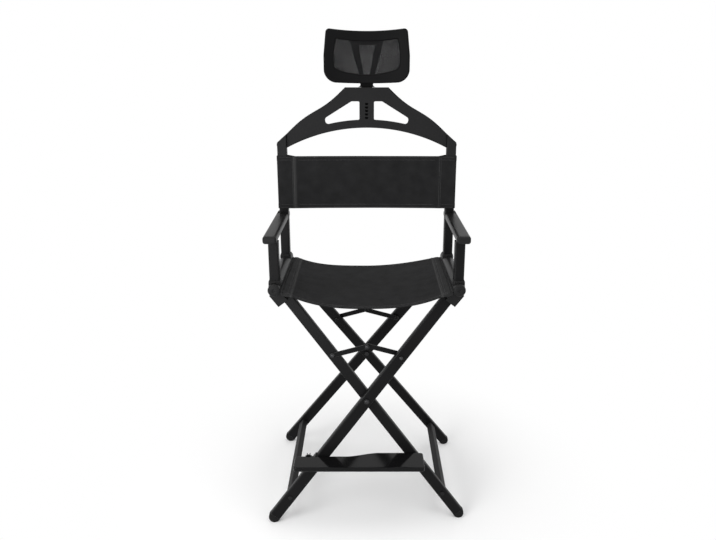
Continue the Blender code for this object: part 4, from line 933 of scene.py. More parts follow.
@dataclass(frozen=True)
class SeatCanvas(StretchedCanvas):
    """Canvas that sags between the seat tubes, hemmed all round."""

    front: float = -0.184
    length: float = 0.360
    sag_front: float = 0.0535
    sag_rear: float = 0.030
    sag_power: float = 2.6
    power_shift: tuple[float, float] = (0.7, -0.8)
    level_hem: float = 0.055
    groove_drop: float = math.radians(12.0)
    mouth_reach: float = 0.0202
    mouth_lip: float = 0.002
    mouth_step: float = 0.001
    tongue: float = 0.0048
    side_hem: float = 0.027
    edge_hem: float = 0.016
    hem_step: float = 0.0008
    ridge: float = 0.0011
    ridge_width: float = 0.0017
    bow: float = 0.004
    ripple: float = 0.00018
    ripple_reach: float = 0.32
    ripple_end: float = 40.0
    pull: Waves = ((1.0, 31.0, 1.3, 0.6), (0.7, 53.0, -2.0, 0.0), (0.5, 88.0, 0.0, 0.0))
    swell: Waves = ((1.0, 9.0, 4.0, 0.0),)
    shoulder: float = 0.002
    shoulder_width: float = 0.008
    crease: float = 0.0024
    crease_place: float = 0.0022
    crease_width: float = 0.0017
    pocket_depth: float = 0.0090
    pocket_power: float = 1.5
    pocket_lip: float = 0.003
    fine_side: float = 0.14
    # Width of the painted highlight along the ridge, and the share by which the hems are lighter.
    ridge_highlight_width: float = 0.0024
    hem_lightening: float = 0.3
    side_rows: tuple[float, float] = (0.0042, 0.0095)
    edge_row: float = 0.0035
    rod_turns: float = 0.045
    folded_keep: float = 0.167

    @property
    def half(self) -> float:
        """Half width between the mouths of the two tube grooves."""
        gap = (Side.RIGHT.tube[0] - Side.LEFT.tube[0]) / 2
        return gap - self.mouth_reach * math.cos(self.groove_drop)

    @property
    def mouth_height(self) -> float:
        """Height at which the canvas leaves the grooves."""
        return Side.RIGHT.tube[2] - self.mouth_reach * math.sin(self.groove_drop)

    def from_side(self, u: Array) -> Array:
        """Distance from the nearer groove's mouth."""
        return self.half * (1.0 - np.abs(u))

    def middle(self, u: Array, v: Array) -> Array:
        """Middle surface.

        u runs from -1 at the left groove to 1 at the right one, v from 0 at the front to 1 at the
        rear. The height is the groove's, less a sag times one minus a power of u, less a short
        drop over the groove's lip and a bell-shaped crease along it; the power is higher on the
        left and lower on the right towards the rear, where the stiff side hems also stay level.
        Past the grooves it climbs along them. Slow waves along v, strongest near the tubes, are
        the pull of the hems.

        Args:
            u: Share across.
            v: Share from front to rear.

        Returns:
            Points.
        """
        inner = np.clip(u, -1.0, 1.0)
        out = np.abs(inner)
        crown = 1.0 - inner ** 2
        sag = self.sag_front + (self.sag_rear - self.sag_front) * v
        y = self.front + self.length * v + self.bow * crown * (1.0 - 2.0 * v)
        near = bell(1.0 - out, self.ripple_reach) * (1.0 - out ** self.ripple_end)
        ripples = near * wave_sum(self.pull, inner, v) + crown * wave_sum(self.swell, inner, v)
        power = self.sag_power + v * np.where(inner < 0.0, *self.power_shift)
        side = self.from_side(inner)
        lip = self.shoulder * (1.0 - np.exp(-side / self.shoulder_width)) * inner ** 2
        crease = self.crease * bell(side - self.crease_place, self.crease_width)
        share = np.minimum(out / (1.0 - self.level_hem * v), 1.0)
        climb = (np.abs(u) - out) * self.half * math.tan(self.groove_drop)
        z = self.mouth_height - sag * (1.0 - share ** power) - lip - crease
        z = z + self.ripple * ripples + climb
        return np.stack((MIDDLE[0] + u * self.half, MIDDLE[1] + y, z), axis=-1)

    def half_thickness(self, u: Array, v: Array) -> Array:
        """Half thickness: cloth, doubled in the hems, with a low ridge where the side hems end.

        Args:
            u: Share across.
            v: Share from front to rear.

        Returns:
            Distance of each face from the middle surface.
        """
        side = self.from_side(u)
        edge = self.length * np.minimum(v, 1.0 - v)
        hem = np.maximum(smooth_step(self.side_hem - side, self.hem_step),
                         smooth_step(self.edge_hem - edge, self.hem_step))
        ridge = self.ridge * bell(side - self.side_hem, self.ridge_width)
        inside = smooth_step(side - self.mouth_lip, self.mouth_step)
        return self.thickness / 2 + inside * (self.hem_thickness / 2 * hem + ridge)

    def pocket(self, u: Array) -> Array:
        """Depth of the rod pocket under the side hems: a power of the distance to the seam.

        Args:
            u: Share across.

        Returns:
            Depths, full by the tube and none at the groove's mouth.
        """
        side = np.maximum(self.from_side(u), 0.0)
        full = np.maximum(1.0 - (side / self.side_hem) ** self.pocket_power, 0.0)
        return self.pocket_depth * full * np.minimum(side / self.pocket_lip, 1.0)

    def shares(self) -> list[Array]:
        """Grids of v and u at which the cloth has points, closer together at the hems.

        Returns:
            Shares from front to rear, and across.
        """
        tips = 1.0 + self.tongue / self.half
        near = np.linspace(0.0, self.fine_side, 42)
        right = np.concatenate((np.linspace(0.0, 1.0 - self.fine_side, 60)[:-1], 1.0 - near[::-1]))
        across = np.concatenate(([-tips], -right[::-1], right[1:], [tips]))
        along = hemmed_shares(hem=0.055, fine=18, coarse=74)
        return np.meshgrid(along, across, indexing="ij")

    def build(self) -> None:
        """Build the canvas and its stitches."""
        v, u = self.shares()
        face, back, _ = self.faces(u, v)
        side = self.from_side(u)
        # Lighter cloth: a painted highlight along the raised ridge where the side hems end, and a
        # lighter band over the hems.
        worn_and_highlit = (bell(side - self.side_hem, self.ridge_highlight_width)
                + self.hem_lightening * smooth_step(self.side_hem - side, self.hem_step))
        cloth = np.stack((u * self.half, v * self.length, np.minimum(worn_and_highlit, 1.0)), axis=-1)
        piece = self.put(Shell().sheet(face, back, cloth), "seat_canvas_sheet", CANVAS,
                         "right_side", Slot.CANVAS, "seat_canvas")
        thread = self.put(self.stitches(), "seat_canvas_stitches", THREAD,
                          "right_side", Slot.CANVAS)
        for item in (piece, thread):
            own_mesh(item)

    def stitches(self) -> Shell:
        """Sew two rows inside each side hem, and two along the front and rear hems.

        Returns:
            The stitches.
        """
        run = np.linspace(self.row_margin, 1.0 - self.row_margin, 240)
        rows = [(np.full_like(run, sign * (1.0 - (self.side_hem - inset) / self.half)), run)
                for sign in (-1.0, 1.0) for inset in self.side_rows]
        insets = self.edge_row, self.edge_hem - self.row_inset
        rows += self.hem_rows(self.length, insets, count=300)
        return self.sewn(rows)


@dataclass(frozen=True)
class BackCanvas(StretchedCanvas):
    """Canvas band across the back: a panel between two sleeves on the rear posts."""

    low: float = 0.1760
    height: float = 0.1655
    hem: float = 0.015
    hem_step: float = 0.0007
    seam_inset: float = 0.0399
    front: float = 0.1107
    post: float = 0.128
    room: float = 0.0151
    corner: float = 0.0055
    lap: float = 0.0008
    lap_layers: float = 1.4
    bow: float = 0.004
    draw: float = 0.0006
    ripple: float = 0.0005
    ripple_reach: float = 0.2
    ripple_end: float = 30.0
    pull: Waves = ((1.0, 17.0, 0.0, 0.8), (0.6, 33.0, 2.0, 0.0))
    swell: Waves = ((0.0004, 3.0, 7.0, 0.0),)
    edge_row: float = 0.0032
    seam_rows: tuple[float, float] = (0.0035, 0.0085)
    row_start: float = 0.011
    folded_keep: float = 0.0925
    # Strength of the painted highlight along the seams, left and right: strong on the left and weak
    # on the right, as if lit from the left.
    wear_and_highlight: tuple[float, float] = (0.95, 0.12)
    seam_highlight_width: float = 0.0026
    sleeve_highlight_width: float = 0.003

    @property
    def base(self) -> float:
        """Height of the lower edge above the floor."""
        return Side.RIGHT.tube[2] + self.low

    @property
    def seam(self) -> float:
        """Distance of a sleeve seam from the middle."""
        return (Side.RIGHT.tube[0] - Side.LEFT.tube[0]) / 2 - self.seam_inset

    @property
    def hem_insets(self) -> tuple[float, float]:
        """Distances of the two rows of stitches of a hem from the cloth's edge."""
        return self.edge_row, self.hem - self.row_inset

    def middle(self, u: Array, v: Array) -> Array:
        """Middle surface of the panel.

        u runs from -1 at the left seam to 1 at the right one, v from 0 at the lower edge to 1 at
        the upper edge. The panel bows back as one minus the square of u, its lower edge draws in a
        little at the middle, and short waves along v fade with the distance from the seams.

        Args:
            u: Share across.
            v: Share of the height.

        Returns:
            Points.
        """
        crown = 1.0 - u ** 2
        out = np.abs(u)
        near = bell(1.0 - out, self.ripple_reach) * (1.0 - out ** self.ripple_end)
        ripples = self.ripple * near * wave_sum(self.pull, u, v)
        y = self.front + self.thickness + ripples + (self.bow + wave_sum(self.swell, u, v)) * crown
        z = self.base + self.height * v + self.draw * crown * (1.0 - v)
        return np.stack((MIDDLE[0] + u * self.seam, MIDDLE[1] + y, z), axis=-1)

    def hem_half(self, v: Array) -> Array:
        """Half thickness at a share of the height: cloth, doubled in the upper and lower hem."""
        hem = smooth_step(self.hem - self.height * np.minimum(v, 1.0 - v), self.hem_step)
        return self.thickness / 2 + self.hem_thickness / 2 * hem

    def half_thickness(self, u: Array, v: Array) -> Array:
        """Half thickness, the same all across."""
        return np.broadcast_to(self.hem_half(v), np.shape(u))

    @staticmethod
    def heights() -> Array:
        """Shares of the height at which the cloth has points, closer together at the hems."""
        return hemmed_shares(hem=0.12, fine=16, coarse=34)

    def build(self) -> None:
        """Build the panel, the two sleeves and their stitches."""
        v, u = np.meshgrid(self.heights(), np.linspace(-1.0, 1.0, 110), indexing="ij")
        face, back, _ = self.faces(u, v)
        # Painted highlight beside the seams, stronger on the left as if lit from that side.
        worn_and_highlit = (np.where(u < 0.0, *self.wear_and_highlight)
                * bell((1.0 - np.abs(u)) * self.seam, self.seam_highlight_width))
        cloth = np.stack((u * self.seam, v * self.height, worn_and_highlit), axis=-1)
        panel = self.put(Shell().sheet(face, back, cloth), "back_canvas_panel", CANVAS,
                         "right_side", Slot.CANVAS, "back_canvas")
        rows = self.hem_rows(self.height, self.hem_insets, count=290)
        thread = self.put(self.sewn(rows), "back_canvas_panel_stitches", THREAD,
                          "right_side", Slot.CANVAS)
        for item in (panel, thread):
            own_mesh(item)
        for side in Side:
            self.sleeve(side)

    def sleeve_loop(self) -> Array:
        """Closed loop of a sleeve round its post, seen from above, about the post.

        From the seam it runs straight past the front of the post, round its two outer corners on
        arcs, straight behind it, and slants forward to the seam again.

        Returns:
            Points in two coordinates, x outwards, and y to the rear.
        """
        room = self.room + self.thickness / 2
        reach = room - self.corner
        arc = np.linspace(-math.pi / 2, 0.0, 9)
        turn = np.stack((np.cos(arc), np.sin(arc)), axis=1) * self.corner
        front = np.linspace((-self.seam_inset, -room), (reach, -room), 16)
        first = turn + np.array((reach, -reach))
        second = np.stack((-turn[:, 1], turn[:, 0]), axis=1) + reach
        rear = np.linspace((reach, room), (-room, room), 10)
        seam = (self.lap - self.seam_inset, self.thickness * self.lap_layers - room)
        slant = np.linspace((-room, room), seam, 16)
        return np.concatenate((front, first[1:], second[1:], rear[1:], slant[1:]))

    def sleeve(self, side: Side) -> None:
        """Build one sleeve: its loop, with a wall of the cloth's thickness, carried up the post.

        Args:
            side: Side of the chair.
        """
        loop = self.sleeve_loop()
        reach = line_reach(loop)
        v = self.heights()
        half = self.hem_half(v)
        wall = np.concatenate((half, -half[::-1]))
        level = self.height * np.concatenate((v, v[::-1]))
        flat = loop[:, None] + loop_normals(loop)[:, None] * wall[None, :, None]
        x = side.tube[0] + side.value * flat[..., 0]
        y = MIDDLE[1] + self.post + flat[..., 1]
        points = np.stack(np.broadcast_arrays(x, y, self.base + level), axis=-1)
        # Painted highlight beside the sleeve seam, stronger on the left as if lit from that side.
        worn_and_highlit = (np.where(side is Side.LEFT, *self.wear_and_highlight)
                * bell(reach - self.sleeve_highlight_width, self.sleeve_highlight_width)[:, None])
        cloth = np.stack(np.broadcast_arrays(reach[:, None], level[None], worn_and_highlit), axis=-1)
        piece = self.put(Shell().grid(points, Closing.RING, cloth),
                         "back_canvas_sleeve_" + side.word, CANVAS, side.body, Slot.CANVAS)
        thread = self.put(self.sleeve_stitches(side), "back_sleeve_stitches_" + side.word, THREAD,
                          side.body, Slot.CANVAS)

    def sleeve_stitches(self, side: Side) -> Shell:
        """Sew the sleeve seam in two upright rows, and the hems across the front of the sleeve.

        Args:
            side: Side of the chair.

        Returns:
            The stitches.
        """
        shell, sewing = Shell(), Stitching()
        run = np.linspace(self.row_start, self.seam_inset + self.room - self.corner, 60)
        rise = np.linspace(self.row_margin, 1.0 - self.row_margin, 120)
        rows = [(inset, rise) for inset in self.seam_rows]
        rows += [(run, np.full(1, abs(start - inset / self.height)))
                 for start in (0.0, 1.0) for inset in self.hem_insets]
        front = MIDDLE[1] + self.post - self.room - self.thickness / 2
        for outward, share in rows:
            x = side.tube[0] + side.value * (outward - self.seam_inset)
            points = np.stack(np.broadcast_arrays(
                x, front - self.hem_half(share), self.base + self.height * share), axis=1)
            sewing.lay(shell, points, np.tile(End.FRONT.way, (len(points), 1)))
        return shell


# ---------------------------------------------------------------- headrest


@dataclass(frozen=True)
class PadOutline:
    """Round-cornered outline with a narrower, dipping top and a bulging base."""

    width: float
    height: float
    middle: float
    corner: float
    base_corner: float
    taper: float
    dip: float
    bulge: float

    def points(self) -> Array:
        """Outline: the shifts from a plain one grow with the distance from its mid-height.

        Returns:
            Points in width, and height above the tilt axis.
        """
        flat = rounded_ring(self.width, self.height, self.corner, self.base_corner,
                            corner_steps=14, edge_steps=26)
        rise = 2.0 * flat[:, 1] / self.height
        upper, lower = np.maximum(rise, 0.0), np.maximum(-rise, 0.0)
        crown = 1.0 - (2.0 * flat[:, 0] / self.width) ** 2
        drop = crown * (self.dip * upper + self.bulge * lower)
        return np.stack((flat[:, 0] * (1.0 - self.taper * upper),
                         self.middle + flat[:, 1] - drop), axis=1)


@dataclass(frozen=True)
class Headrest(SubAssembly):
    """Rim of the headrest and the netting in its window, in heights about the tilt axis."""

    outer: PadOutline = PadOutline(width=0.258, height=0.154, middle=0.063, corner=0.012,
                                   base_corner=0.036, taper=0.06, dip=0.008, bulge=0.005)
    window: PadOutline = PadOutline(width=0.198, height=0.0836, middle=0.0683, corner=0.005,
                                    base_corner=0.010, taper=0.07, dip=0.008, bulge=0.019)
    bend: float = 0.020
    thickness: float = 0.012
    face: float = -0.0137
    section_points: int = 28
    section_powers: tuple[float, float] = (0.55, 0.5)
    net_pitch: float = 0.0016
    net_strand: float = 0.00136
    net_thickness: float = 0.00044
    net_margin: float = 0.0016
    net_wave: float = 0.00028
    net_stretch: float = 1.06

    @property
    def origin(self) -> Array:
        """Point on the tilt axis, in the middle plane."""
        return AXES["headrest_tilt"]

    def bent(self, x: Array, depth: Array, z: Array) -> Array:
        """Points after the bend: both ends reach forward with the square of their distance.

        Args:
            x: Distance from the middle.
            depth: Distance behind the middle surface of the rim.
            z: Height above the tilt axis.

        Returns:
            Points.
        """
        forward = self.bend * (2.0 * x / self.outer.width) ** 2
        y = self.face - self.thickness / 2 + depth - forward
        return np.stack(np.broadcast_arrays(x, y, z), axis=-1) + self.origin

    def build(self) -> None:
        """Build the netting, and the rim: a squarish round from the window to the outline."""
        outer, inner = self.outer.points(), self.window.points()
        turns = full_turn(self.section_points)
        across, through = (np.sign(wave) * np.abs(wave) ** power for wave, power in zip(
            (np.cos(turns), np.sin(turns)), self.section_powers))
        share = 0.5 + 0.5 * across
        x, z = (inner[:, None, axis] + (outer - inner)[:, None, axis] * share for axis in (0, 1))
        rim = Shell().grid(self.bent(x, self.thickness / 2 * through, z), Closing.RING)
        self.put(rim, "headrest_rim_smooth", RIM_PLASTIC, "headrest", Slot.FITTINGS,
                 "headrest_rim", sharp=60.0)
        self.put(self.netting(), "headrest_netting", NETTING, "headrest", Slot.MESH,
                 "headrest_mesh", sharp=50.0)

    def netting(self) -> Shell:
        """Woven netting: flat strands both ways, over and under each other at each crossing.

        The height of a crossing lies by its share between the window's bulging lower edge and its
        dipping upper edge.

        Returns:
            The netting.
        """
        window = self.window
        width, height = (size + 2 * self.net_margin for size in (window.width, window.height))
        columns = int(width / self.net_pitch)
        rows = int(height * self.net_stretch / self.net_pitch)
        row, column = np.meshgrid(np.arange(rows), np.arange(columns), indexing="ij")
        u = (column / (columns - 1) - 0.5) * width / window.width
        v = (row / (rows - 1) - 0.5) * height / window.height
        crown = 1.0 - (2.0 * u) ** 2
        low = -window.height / 2 - crown * window.bulge
        high = window.height / 2 - crown * window.dip
        x = u * window.width * (1.0 - window.taper * np.maximum(2.0 * v, 0.0))
        z = window.middle + low + (high - low) * (v + 0.5)
        wave = self.net_wave * (1.0 - 2.0 * ((row + column) % 2))
        half, thin = self.net_strand / 2, self.net_thickness / 2
        wide, deep = np.array((-half, half, half, -half)), np.array((-thin, -thin, thin, thin))
        level = self.bent(x[..., None], wave[..., None] + deep, z[..., None] + wide)
        upright = self.bent(x.T[..., None] + wide, deep - wave.T[..., None], z.T[..., None])
        shell = Shell()
        for strands in (level, upright):
            shell.bars(strands, (strands - self.origin)[..., (0, 2, 1)] * (1.0, 1.0, 0.0))
        return shell


# ---------------------------------------------------------------- frames


@dataclass(frozen=True)
class FastenerHead:
    """Domed head with a six-sided socket; its profile is in shares of its radius and height."""

    radius: float
    height: float
    count: int = 24
    radii: tuple[float, ...] = (0.02, 1.0, 1.0, 0.97, 0.88, 0.72, 0.56, 0.50, 0.48, 0.02)
    levels: tuple[float, ...] = (0.0, 0.0, 0.34, 0.56, 0.79, 0.95, 1.0, 0.96, 0.30, 0.30)
    socket: tuple[int, int] = (7, 9)

    def stand(self, shell: Shell, origin: Array, axis: Array) -> None:
        """Stand a head on a face: a turned profile whose socket rings follow a hexagon.

        Args:
            shell: Shell that takes the head.
            origin: Middle of its base.
            axis: Unit way that it faces.
        """
        first = unit(np.cross(axis, (0.0, 0.0, 1.0)))
        second = np.cross(axis, first)
        turns = full_turn(self.count)
        hexagon = math.cos(math.pi / 6) / np.cos(np.mod(turns, math.pi / 3) - math.pi / 6)
        radius = self.radius * np.repeat(np.array(self.radii)[:, None], self.count, axis=1)
        radius[slice(*self.socket)] *= hexagon
        level = self.height * np.array(self.levels)[:, None, None]
        shell.grid(origin + (radius * np.cos(turns))[..., None] * first
                   + (radius * np.sin(turns))[..., None] * second + level * axis, Closing.CAPPED)


SCREW = FastenerHead(0.0040, 0.0022)
RAIL_BOLT = FastenerHead(0.0044, 0.0016)
PIVOT_BOLT = FastenerHead(0.0052, 0.0018)
LINK_RIVET = FastenerHead(0.0046, 0.0016)


@dataclass(frozen=True)
class SideFrame(SubAssembly):
    """Smooth plastic fittings and arms of one side frame, about the axis of its seat tube."""

    side: Side
    gap: float = 0.0003
    tube_radius: float = 0.018
    tube_front: float = -0.186
    plug_length: float = 0.007
    plug_round: float = 0.0056
    plug_dome: tuple[tuple[float, float], ...] = (
        (0.011, -0.0004), (0.0066, -0.0007), (0.0058, -0.0006), (0.0052, 0.0006),
        (0.0040, 0.0008), (0.0036, 0.0022), (0.0002, 0.0022))
    front_post: float = -0.155
    rear_post: float = 0.128
    post: float = 0.029
    saddle: float = 0.0366
    saddle_corner: float = 0.006
    saddle_low: float = 0.004
    saddle_step: float = 0.0195
    saddle_top: float = 0.0228
    screw_sink: float = 0.0012
    bed_gap: float = 0.0002
    rib_shares: tuple[float, ...] = (
        0.0, 0.04, 0.20, 0.23, 0.30, 0.33, 0.52, 0.55, 0.62, 0.65, 0.86, 0.95, 1.0)
    rib_insets: tuple[float, ...] = (
        0.0008, 0.0, 0.0, 0.0007, 0.0007, 0.0, 0.0, 0.0007, 0.0007, 0.0, 0.0, 0.0005, 0.0014)
    collar: float = 0.0340
    collar_corner: float = 0.0045
    collar_lap: float = 0.0006
    collar_rise: float = 0.0004
    collar_edge: tuple[tuple[float, float], ...] = ((0.0, 0.0016), (0.0010, 0.0005), (0.0024, 0.0))
    bore_gap: float = 0.0008
    bore_foot: float = 0.0006
    bore_foot_corner: float = 0.0044
    bore_foot_gap: float = 0.0004
    arm_width: float = 0.039
    arm_offset: float = 0.0062
    arm_top: float = 0.1596
    arm_thickness: float = 0.022
    arm_front: float = -0.196
    arm_rear: float = 0.1655
    arm_edge: float = 0.0072
    arm_round: float = 0.003
    arm_turn: float = 0.0009
    arm_chamfer: float = 0.0006
    arm_screw_sink: float = 0.0002
    post_gap: float = 0.0004
    cap_length: float = 0.012
    cap_round: float = 0.0062
    cap_seam: float = 0.0007
    cap_proud: float = 0.0001

    @property
    def origin(self) -> Array:
        """Point on the tube axis, at the middle of the chair's depth."""
        return np.array((self.side.tube[0], MIDDLE[1], self.side.tube[2]))

    @property
    def arm_inner(self) -> float:
        """Distance of the arm's inner side from the tube axis."""
        return self.arm_offset - self.arm_width / 2

    @property
    def arm_outer(self) -> float:
        """Distance of the arm's outer side from the tube axis."""
        return self.arm_offset + self.arm_width / 2

    @property
    def arm_middle(self) -> float:
        """Height of the arm's middle above the tube axis."""
        return self.arm_top - self.arm_thickness / 2

    def placed(self, x: Array | float, y: Array | float, z: Array | float) -> Array:
        """Points from outward distance, depth and height about the tube axis."""
        return np.stack(np.broadcast_arrays(self.side.value * x, y, z), axis=-1) + self.origin

    def build(self) -> None:
        """Build the plug, the saddles, the arm and its cap."""
        word, body = self.side.word, self.side.body
        self.put(self.plug(), "tube_plug_smooth_" + word, MOULDED, body, Slot.FITTINGS,
                 "tube_plug_" + word)
        for end, depth in ((End.FRONT, self.front_post), (End.REAR, self.rear_post)):
            self.put(self.saddle_shell(depth), "%s_saddle_ribbed_%s" % (end.word, word), MOULDED,
                     body, Slot.FITTINGS, "%s_saddle_%s" % (end.word, word), sharp=50.0)
        self.put(self.arm(), "armrest_smooth_" + word, SATIN_PAINT, body, Slot.FRAME,
                 "armrest_" + word)
        self.put(self.arm_cap(), "arm_cap_smooth_" + word, MOULDED, body, Slot.FITTINGS,
                 "arm_cap_" + word, sharp=50.0)

    def plug(self) -> Shell:
        """Turned plug: straight wall, round shoulder, low dome and a screw recess.

        Returns:
            Its shell.
        """
        back = self.tube_front - self.gap
        face = back - self.plug_length
        drawn, short = rounding(self.plug_round, count=9)
        shoulder = np.stack((self.tube_radius - drawn, face + short), axis=1)
        wall = ((self.plug_dome[-1][0], back), (self.tube_radius, back))
        dome = np.array(self.plug_dome) + (0.0, face)
        profile = np.concatenate((wall, shoulder, dome))
        return Shell().grid(lathe(profile, self.origin, count=64), Closing.CAPPED)

    def square(self, depth: float, size: float, corner: float, level: float, share: float = 1.0,
               gap: float = 0.0) -> Array:
        """Ring round a post: a square with round corners, between the tube and a level.

        Args:
            depth: Depth of the post.
            size: Width of the square.
            corner: Radius of its corners.
            level: Height of the level.
            share: Share of the way from the tube's circle over x up to the level.
            gap: Gap round the tube.

        Returns:
            Points.
        """
        ring = rounded_ring(size, size, corner, corner_steps=7, edge_steps=8)
        circle = (self.tube_radius + gap) ** 2 - ring[:, 0] ** 2
        bed = np.sqrt(np.maximum(circle, self.saddle_low ** 2))
        return self.placed(ring[:, 0], depth + ring[:, 1], bed + (level - bed) * share)

    def saddle_shell(self, depth: float) -> Shell:
        """Ribbed saddle: rings from the tube up to a level step, in and out at each rib.

        A collar stands on the step, and its bore goes down inside to the tube again.

        Args:
            depth: Depth of the post.

        Returns:
            Its shell.
        """
        widening = self.collar + self.collar_lap - self.saddle
        bore = self.post + self.bore_gap
        rings = [self.square(depth, self.saddle + widening * share - 2 * inset, self.saddle_corner,
                             self.saddle_step, share, self.bed_gap)
                 for share, inset in zip(self.rib_shares, self.rib_insets)]
        rings += [self.square(depth, size, self.collar_corner, level) for size, level in (
            (self.collar, self.saddle_step + self.collar_rise),
            *((self.collar - inset, self.saddle_top - drop) for inset, drop in self.collar_edge),
            (bore, self.saddle_top), (bore, self.saddle_step))]
        rings.append(self.square(depth, self.post + self.bore_foot, self.bore_foot_corner,
                                 self.saddle_step, 0.0, self.bore_foot_gap))
        shell = Shell().grid(np.array(rings), Closing.RING)
        screw = self.placed(self.saddle / 2 - self.screw_sink, depth,
                            (self.saddle_low + self.saddle_step) / 2)
        SCREW.stand(shell, screw, self.side.way)
        return shell

    def arm_section(self, depth: float, inner: float, inset: float) -> Array:
        """Round-edged section of the arm, from an inner distance to its outer side.

        Args:
            depth: Its place in depth.
            inner: Distance of its inner side from the tube axis.
            inset: Distance by which the section shrinks all round.

        Returns:
            Points.
        """
        outer = self.arm_outer
        ring = rounded_ring(outer - inner - 2 * inset, self.arm_thickness - 2 * inset,
                            self.arm_edge - inset, corner_steps=8, edge_steps=4)
        return self.placed(ring[:, 0] + (inner + outer) / 2, depth, ring[:, 1] + self.arm_middle)

    def arm(self) -> Shell:
        """Arm: its section carried from front to rear, stepped outwards past the rear post.

        Returns:
            Its shell.
        """
        inner, notch = self.arm_inner, self.post / 2 + self.post_gap
        front = self.arm_front + self.cap_length + self.gap
        before, behind = self.rear_post - notch, self.rear_post + notch
        stations = ((front, inner, self.arm_chamfer), (front + self.arm_chamfer, inner, 0.0),
                    (before, inner, 0.0), (before, notch, 0.0), (behind, notch, 0.0),
                    (behind, inner, 0.0), (self.arm_rear - self.arm_round, inner, 0.0),
                    (self.arm_rear - self.arm_turn, inner, self.arm_turn),
                    (self.arm_rear, inner, self.arm_round))
        rings = np.array([self.arm_section(*station) for station in stations])
        shell = Shell().grid(rings, Closing.CAPPED)
        screw = self.placed(self.arm_outer - self.arm_screw_sink, self.rear_post, self.arm_middle)
        SCREW.stand(shell, screw, self.side.way)
        return shell

    def arm_cap(self) -> Shell:
        """Cap: the arm's section with a seam step at its back, drawn in round at its front.

        Returns:
            Its shell.
        """
        back = self.arm_front + self.cap_length
        drawn, short = rounding(self.cap_round, count=10)
        depths = np.concatenate(((back, back - self.cap_seam), self.arm_front + short))
        insets = np.concatenate(((self.cap_seam, -self.cap_proud), drawn - self.cap_proud))
        return Shell().grid(np.array([self.arm_section(depth, self.arm_inner, inset)
                                      for depth, inset in zip(depths, insets)]), Closing.CAPPED)


@dataclass(frozen=True)
class Fasteners(SubAssembly):
    """Heads of the rivets and bolts of the legs and links."""

    top_reach: float = 0.38776
    rail_face: float = 0.0302
    bolt_sink: float = 0.0002
    pin_sink: float = 0.0004
    rivet_rise: float = 0.028

    def build(self) -> None:
        """Build the heads, one piece for each body."""
        for legs in LegFrame:
            shell = Shell()
            way = np.array((legs.lean * math.cos(LEG_LEAN), 0.0, -math.sin(LEG_LEAN)))
            for end in End:
                bolt = legs.point(end, self.rail_face, self.top_reach)
                RAIL_BOLT.stand(shell, bolt - way * self.bolt_sink, way)
                if legs is LegFrame.B:
                    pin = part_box("pivot_rivet_" + end.word)[0 if end is End.FRONT else 1]
                    centre = AXES["fold"].copy()
                    centre[1] = pin[1] - end.value * self.pin_sink
                    PIVOT_BOLT.stand(shell, centre, end.way)
            self.put(shell, "%s_heads" % legs.body, BRIGHT_STEEL, legs.body, Slot.HARDWARE)
        for end in End:
            for side in Side:
                self.link_heads(end, side)

    def link_heads(self, end: End, side: Side) -> None:
        """Heads on a spreader link: over its stud, and on the left link over the centre rivet too.

        Args:
            end: Front or rear link.
            side: Side of the chair.
        """
        body = "%s_%s_link" % (end.word, side.word)
        low, high = (np.array(corner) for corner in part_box("link_%s_%s" % (end.word, side.word)))
        stud = AXES[body + "_turn"].copy()
        stud[1] = (low if end is End.FRONT else high)[1] - end.value * self.pin_sink
        shell = Shell()
        LINK_RIVET.stand(shell, stud, end.way)
        if side is Side.LEFT:
            rivet = np.array((MIDDLE[0], stud[1], stud[2] + self.rivet_rise))
            LINK_RIVET.stand(shell, rivet, end.way)
        self.put(shell, "%s_heads" % body, BRIGHT_STEEL, body, Slot.HARDWARE)


@dataclass(frozen=True)
class Foot(SubAssembly):
    """Round-ended rubber cap on the lower end of a leg."""

    legs: LegFrame
    end: End
    thickness: float = 0.0202
    edge: float = 0.0032
    sole: float = math.radians(12.0)
    wall: float = 0.0003
    rise: float = 0.0026

    def build(self) -> None:
        """Build the cap.

        Its outline is a half circle with a level sole on the floor, closed by a straight top across
        the leg; it is carried through the leg's depth, and drawn in on round edges at both faces.
        """
        half = self.legs.width / 2
        centre = (half * math.cos(self.sole) - AXES["fold"][2]) / math.cos(LEG_LEAN)
        short, drawn = rounding(self.edge, count=6)
        inset = np.concatenate((drawn, drawn[::-1]))
        through = np.concatenate((short - self.thickness / 2, self.thickness / 2 - short[::-1]))
        arc = np.linspace(math.pi, 2.0 * math.pi, 41)[None]
        size = (half + self.wall - inset)[:, None]
        top = np.full((len(inset), 2), centre + self.rise)
        outward = np.concatenate((size * np.cos(arc), size, -size), axis=1)
        reach = np.concatenate((centre + size * np.sin(arc), top), axis=1)
        points = self.legs.point(self.end, outward, reach, through[:, None])
        points[..., 2] = np.maximum(points[..., 2], 0.0)
        name = "%s_%s" % (self.legs.letter, self.end.word)
        self.put(Shell().grid(points, Closing.CAPPED), "foot_cap_" + name, RUBBER,
                 self.legs.body, Slot.FITTINGS, "foot_" + name, sharp=50.0)


# ---------------------------------------------------------------- hanger, pins and footrest


